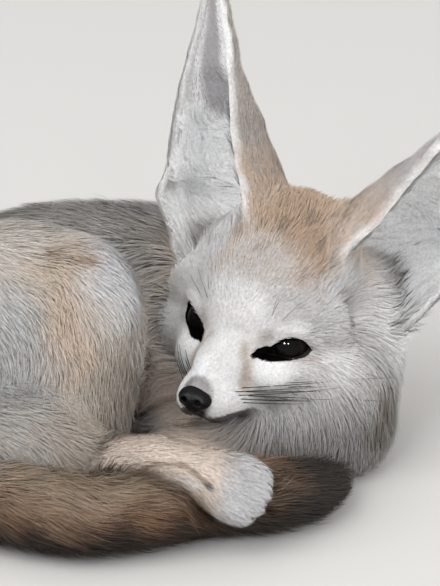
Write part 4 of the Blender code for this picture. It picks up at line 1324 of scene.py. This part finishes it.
CAD_OF = {
    "head": ["head"], "ear_r": ["ear_r"], "ear_l": ["ear_l"], "neck": ["neck"], "chest": ["chest"], "trunk": ["trunk"], "thigh_r": ["thigh_r"],
    "thigh_l": ["thigh_l"], "hind_foot_r": ["hind_foot_r"], "hind_foot_l": ["hind_foot_l"], "fore_leg_r": ["fore_leg_r"], "fore_leg_l": ["fore_leg_l"],
    "tail": ["tail_base", "tail_mid", "tail_tip"],
}
for obj, slot_name, tris, parts in pieces:
    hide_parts(*[node for part in parts for node in CAD_OF[part]])
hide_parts(*[node for nodes in CAD_OF.values() for node in nodes])


# ------------------------------------------------------------------ eyes
def make_eye(name, s):
    e = EYES[s]
    gaze_h, along_h = e["gaze"], e["along"]
    over_h = np.cross(gaze_h, along_h)
    rings, segs = 40, 56
    th = np.concatenate([np.linspace(0, 0.62, 22), np.linspace(0.66, math.pi, rings - 22)])
    ph = np.linspace(0, 2 * math.pi, segs, endpoint=False)
    pts, cols = [], []
    for a in th:
        bulge = 0.05 * math.exp(-((a / 0.45) ** 3))
        rad = EYE_R + bulge
        for b in ph:
            streak = 0.85 + 0.3 * math.sin(b * 23 + 3 * math.sin(b * 5)) * math.sin(a * 40)
            v = gaze_h * math.cos(a) + (along_h * math.cos(b) + over_h * math.sin(b)) * math.sin(a)
            pts.append(HEAD_AT + HM @ (e["c"] + v * rad))
            if a < 0.24:
                c = (0.004, 0.004, 0.004)
            elif a < 0.60:
                k = (a - 0.24) / 0.36
                c = (0.0062 * streak * (1 - 0.5 * k), 0.0045 * streak * (1 - 0.5 * k), 0.0035 * streak * (1 - 0.5 * k))
            else:
                c = (0.008, 0.006, 0.005)
            cols.append(c)
    faces, size = [], []
    for i in range(len(th) - 1):
        for j in range(segs):
            a, b = i * segs + j, i * segs + (j + 1) % segs
            faces += [a, a + segs, b + segs, b]
            size.append(4)
    me = mesh_of(name, np.array(pts), np.array(faces), np.array(size))
    add_colour(me, np.array(cols))
    bm = bmesh.new()
    bm.from_mesh(me)
    bmesh.ops.remove_doubles(bm, verts=bm.verts, dist=1e-6)
    bmesh.ops.recalc_face_normals(bm, faces=bm.faces)
    bm.to_mesh(me)
    bm.free()
    me.shade_smooth()
    obj = place(name, me)
    obj.data.materials.append(eye_mat)
    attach(obj, "root")
    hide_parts("eye_r" if s == 1 else "eye_l")


eye_mat = coat_material("eye_surface", 0.12, 2500.0, 0.0, 0.8, 1.2)
eye_bsdf = eye_mat.node_tree.nodes["Principled BSDF"]
eye_bsdf.inputs["Coat Weight"].default_value = 0.15
eye_bsdf.inputs["Coat Roughness"].default_value = 0.01
eye_bsdf.inputs["Specular IOR Level"].default_value = 0.02
make_eye("eyeball_r", 1)
make_eye("eyeball_l", -1)


# ------------------------------------------------------------------ nose
def sd_nose(h):
    d = ell(h, (0.08, 3.50, -1.35), (0.59, 0.46, 0.43))
    d = smin(d, ell(h, (0.05, 3.48, -1.62), (0.33, 0.38, 0.34)), 0.16)
    for s in (1, -1):
        d = smin(d, ell(h, (0.05 + s * 0.36, 3.50, -1.38), (0.27, 0.38, 0.27)), 0.12)
    for s in (1, -1):
        hole, _ = chain(h, [(0.05 + s * 0.24, 4.15, -1.34), (0.05 + s * 0.27, 3.80, -1.36), (0.05 + s * 0.42, 3.60, -1.42)], np.array([0.13, 0.11, 0.05]))
        d = smax(d, -hole, 0.07)
        cut, _ = chain(h, [(0.05 + s * 0.30, 3.98, -1.42), (0.05 + s * 0.56, 3.78, -1.44), (0.05 + s * 0.70, 3.50, -1.38)], np.array([0.05, 0.04, 0.025]))
        d = smax(d, -cut, 0.05)
    groove, _ = chain(h, [(0.05, 4.10, -1.15), (0.05, 3.98, -1.45), (0.05, 3.85, -1.80), (0.05, 3.62, -2.02)], np.array([0.02, 0.05, 0.045, 0.03]))
    return smax(d, -groove, 0.06)


nlo, nh = np.array([-0.85, 2.85, -2.15]), 0.030
nn = np.array([60, 48, 50])
gx, gy, gz = np.meshgrid(*[nlo[i] + nh * np.arange(nn[i]) for i in range(3)], indexing="ij")
NG = sd_nose(np.stack([gx.ravel(), gy.ravel(), gz.ravel()], axis=1).astype(F)).reshape(gx.shape)
nv, nq = surface_nets(NG, nlo, nh)
pebble = noise(nv, 16.0, 3.0) * 0.6 + noise(nv, 27.0, 9.0) * 0.4
nose_me = mesh_of("nose_pad", HEAD_AT + nv @ HM.T, nq.ravel(), np.full(len(nq), 4))
nn_v = np.empty(len(nose_me.vertices) * 3, F)
nose_me.vertices.foreach_get("normal", nn_v)
nn_v = nn_v.reshape(-1, 3)
if ((nn_v * (HEAD_AT + nv @ HM.T - hd(0.05, 3.45, -1.4))).sum(1)).mean() < 0:
    nose_me.flip_normals()
    nn_v = -nn_v
moved = HEAD_AT + nv @ HM.T + nn_v * (0.012 * (pebble - 0.5))[:, None]
nose_me.vertices.foreach_set("co", ((moved + SHIFT) * CM).astype(F).ravel())
nose_me.update()
nose_me.shade_smooth()
nose_obj = place("nose_pad", nose_me)
nose_mat = bpy.data.materials.new("nose_leather")
nose_mat.use_nodes = True
nt = nose_mat.node_tree
nb = nt.nodes["Principled BSDF"]
nb.inputs["Specular IOR Level"].default_value = 0.06
coord = nt.nodes.new("ShaderNodeTexCoord")
cells = nt.nodes.new("ShaderNodeTexVoronoi")
cells.inputs["Scale"].default_value = 1500.0
link(nt, coord.outputs["Object"], cells.inputs["Vector"])
tone = nt.nodes.new("ShaderNodeMix")
tone.data_type = "RGBA"
tone.inputs[6].default_value = (0.013, 0.012, 0.012, 1)
tone.inputs[7].default_value = (0.006, 0.005, 0.005, 1)
link(nt, cells.outputs["Distance"], tone.inputs[0])
link(nt, tone.outputs[2], nb.inputs["Base Color"])
wet = nt.nodes.new("ShaderNodeMapRange")
wet.inputs["To Min"].default_value, wet.inputs["To Max"].default_value = 0.34, 0.52
link(nt, cells.outputs["Distance"], wet.inputs["Value"])
link(nt, wet.outputs["Result"], nb.inputs["Roughness"])
nbump = nt.nodes.new("ShaderNodeBump")
nbump.inputs["Strength"].default_value = 0.45
nbump.inputs["Distance"].default_value = 0.0002
nbump.invert = True
link(nt, cells.outputs["Distance"], nbump.inputs["Height"])
link(nt, nbump.outputs["Normal"], nb.inputs["Normal"])
nose_me.materials.append(nose_mat)
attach(nose_obj, "root")
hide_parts("nose")


# ------------------------------------------------------------------ whiskers and claws
def tube(paths, sides=4):
    """Tapering round rods: each path is (points, radii)."""
    V_, F_, S_, at = [], [], [], 0
    for pts, rad in paths:
        pts = np.asarray(pts, float)
        k = len(pts)
        tan = unit(np.gradient(pts, axis=0))
        ref = np.array([0.0, 0.0, 1.0]) if abs(tan[0, 2]) < 0.8 else np.array([1.0, 0.0, 0.0])
        a = unit(np.cross(tan, ref))
        b = np.cross(a, tan)
        ring = np.linspace(0, 2 * math.pi, sides, endpoint=False)
        for i in range(k):
            for w in ring:
                V_.append(pts[i] + (a[i] * math.cos(w) + b[i] * math.sin(w)) * rad[i])
        for i in range(k - 1):
            for j in range(sides):
                p, q = at + i * sides + j, at + i * sides + (j + 1) % sides
                F_ += [p, q, q + sides, p + sides]
                S_.append(4)
        F_ += [at + j for j in range(sides)][::-1]
        S_.append(sides)
        F_ += [at + (k - 1) * sides + j for j in range(sides)]
        S_.append(sides)
        at += k * sides
    return np.array(V_), np.array(F_), np.array(S_)


def arc(start, way, length, droop, count=12):
    """Points from start, heading along way, bending towards droop."""
    p, d = np.array(start, float), unit(np.array(way, float))
    out = [p.copy()]
    for _ in range(count - 1):
        d = unit(d + np.array(droop) / (count - 1))
        p = p + d * length / (count - 1)
        out.append(p.copy())
    return out


whisker_paths = []
wr = np.random.default_rng(5)
for s in (1, -1):
    for row in range(4):
        for k in range(4 + (row in (1, 2))):
            start = (s * (0.84 - 0.06 * k + 0.05 * row), 2.55 - 0.30 * k - 0.08 * row, -1.26 - 0.16 * row)
            way = (s * (0.86 + 0.05 * k), -0.50 + wr.normal(0, 0.05), 0.12 - 0.055 * row + wr.normal(0, 0.03))
            length = (3.2 + 0.40 * k + 0.4 * (row in (1, 2)) + wr.uniform(-0.3, 0.5)) * (1.0 if s > 0 else 1.08)
            bend = (-s * 0.12, -0.30, -0.08 + wr.normal(0, 0.04))
            if s > 0:      # those of the right side are laid back along the cheek
                way, length, bend = (0.76, -0.50, 0.36 - 0.05 * row), 0.50 * length, (-0.15, -0.35, 0.15)
            pts = [hd(*p) for p in arc(start, way, length, bend)]
            whisker_paths.append((pts, np.linspace(0.022, 0.004, len(pts))))
    for start, way, length in (
        ((s * 3.25, -0.75, -0.95), (s * 0.95, -0.30, -0.10), 1.9), ((s * 1.15, 0.42, 0.62), (s * 0.30, 0.35, 0.95), 1.9),
        ((s * 1.45, 0.25, 0.62), (s * 0.50, 0.30, 0.85), 1.6), ((s * 1.25, 0.35, 0.70), (s * 0.10, 0.30, 1.0), 1.3),
    ):
        pts = [hd(*p) for p in arc(start, way, length, (s * 0.10, -0.45, -0.10))]
        whisker_paths.append((pts, np.linspace(0.012, 0.003, len(pts))))
wv, wf, ws = tube(whisker_paths)
whisker_me = mesh_of("whiskers", wv, wf, ws)
whisker_me.shade_smooth()
add_colour(whisker_me, np.tile([0.012, 0.010, 0.009], (len(wv), 1)))
whiskers = place("whiskers", whisker_me)
whisker_me.materials.append(coat_material("whisker", 0.42, 700.0, 0.0, 0.7, 1.4))
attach(whiskers, "root")

claw_paths = []
for name in LEGS:
    _, _, _, offs, size, far, back_, palm, palm_back = LEGS[name]
    centre, fwd, across, down = toe_frame(name)
    for k, off in enumerate(offs):
        ahead = (far if k in (1, 2) else 0.0) + back_ + size[0] - 0.24
        start = centre + across * off + fwd * ahead - down * 0.02
        pts = arc(start, fwd * 1.0 + down * 0.05, 0.50, down * 0.9, 9)
        claw_paths.append((pts, np.array([0.075, 0.08, 0.078, 0.072, 0.062, 0.050, 0.037, 0.023, 0.008])))
cv, cf, cs = tube(claw_paths, 10)
cv[:, 2] = np.maximum(cv[:, 2], 0.03)
claw_me = mesh_of("claws", cv, cf, cs)
claw_me.shade_smooth()
along_claw = (np.arange(len(cv)) // 10) % 9 / 8.0
add_colour(claw_me, np.array([0.10, 0.075, 0.06]) * (1 - 0.55 * along_claw[:, None]) + 0.01)
claws = place("claws", claw_me)
claw_me.materials.append(coat_material("horn", 0.38, 1200.0, 0.25, 0.7, 1.3))
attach(claws, "root")


# ------------------------------------------------------------------ stage
floor_me = bpy.data.meshes.new("floor")
fb = bmesh.new()
bmesh.ops.create_grid(fb, x_segments=1, y_segments=1, size=3.0)
fb.to_mesh(floor_me)
fb.free()
floor = place("floor", floor_me)
fmat = bpy.data.materials.new("floor")
fmat.use_nodes = True
fmat.node_tree.nodes["Principled BSDF"].inputs["Base Color"].default_value = (0.62, 0.60, 0.57, 1)
fmat.node_tree.nodes["Principled BSDF"].inputs["Roughness"].default_value = 0.9
floor_me.materials.append(fmat)

cam = bpy.data.cameras.new("camera")
cam.sensor_width = 36.0
cam.lens = 3780 / 586 * 36.0
camera = bpy.data.objects.new("camera", cam)
bpy.context.scene.collection.objects.link(camera)
target = Vector((0 + SHIFT[0], 0 + SHIFT[1], 7.0)) * CM
back = Vector((0, -math.cos(math.radians(25)), math.sin(math.radians(25))))
camera.location = target + back * 1.40
camera.rotation_euler = (-back).to_track_quat("-Z", "Y").to_euler()
bpy.context.scene.camera = camera


def area(name, loc, size, power, glossy=False):
    light = bpy.data.lights.new(name, "AREA")
    light.energy, light.size = power, size
    obj = bpy.data.objects.new(name, light)
    obj.location = loc
    obj.rotation_euler = (Vector((0, 0, 0.06)) - Vector(loc)).to_track_quat("-Z", "Y").to_euler()
    obj.visible_glossy = glossy
    obj.visible_diffuse = not glossy
    bpy.context.scene.collection.objects.link(obj)


area("key", (-0.9, -0.9, 1.5), 1.5, 19.0)
area("fill", (1.3, -0.9, 0.9), 1.2, 11)
area("catch", (-0.38, -1.2, 0.95), 0.19, 34.0, True)
area("catch_c", (-0.99, -0.40, 0.62), 0.17, 28.0, True)
area("catch_b", (0.26, -1.2, 0.90), 0.14, 22.0, True)
world = bpy.data.worlds.new("world")
world.use_nodes = True
world.node_tree.nodes["Background"].inputs[0].default_value = (0.95, 0.97, 1.0, 1)
world.node_tree.nodes["Background"].inputs[1].default_value = 0.84
bpy.context.scene.world = world

bpy.context.scene.view_settings.view_transform = "Standard"

note("stage")
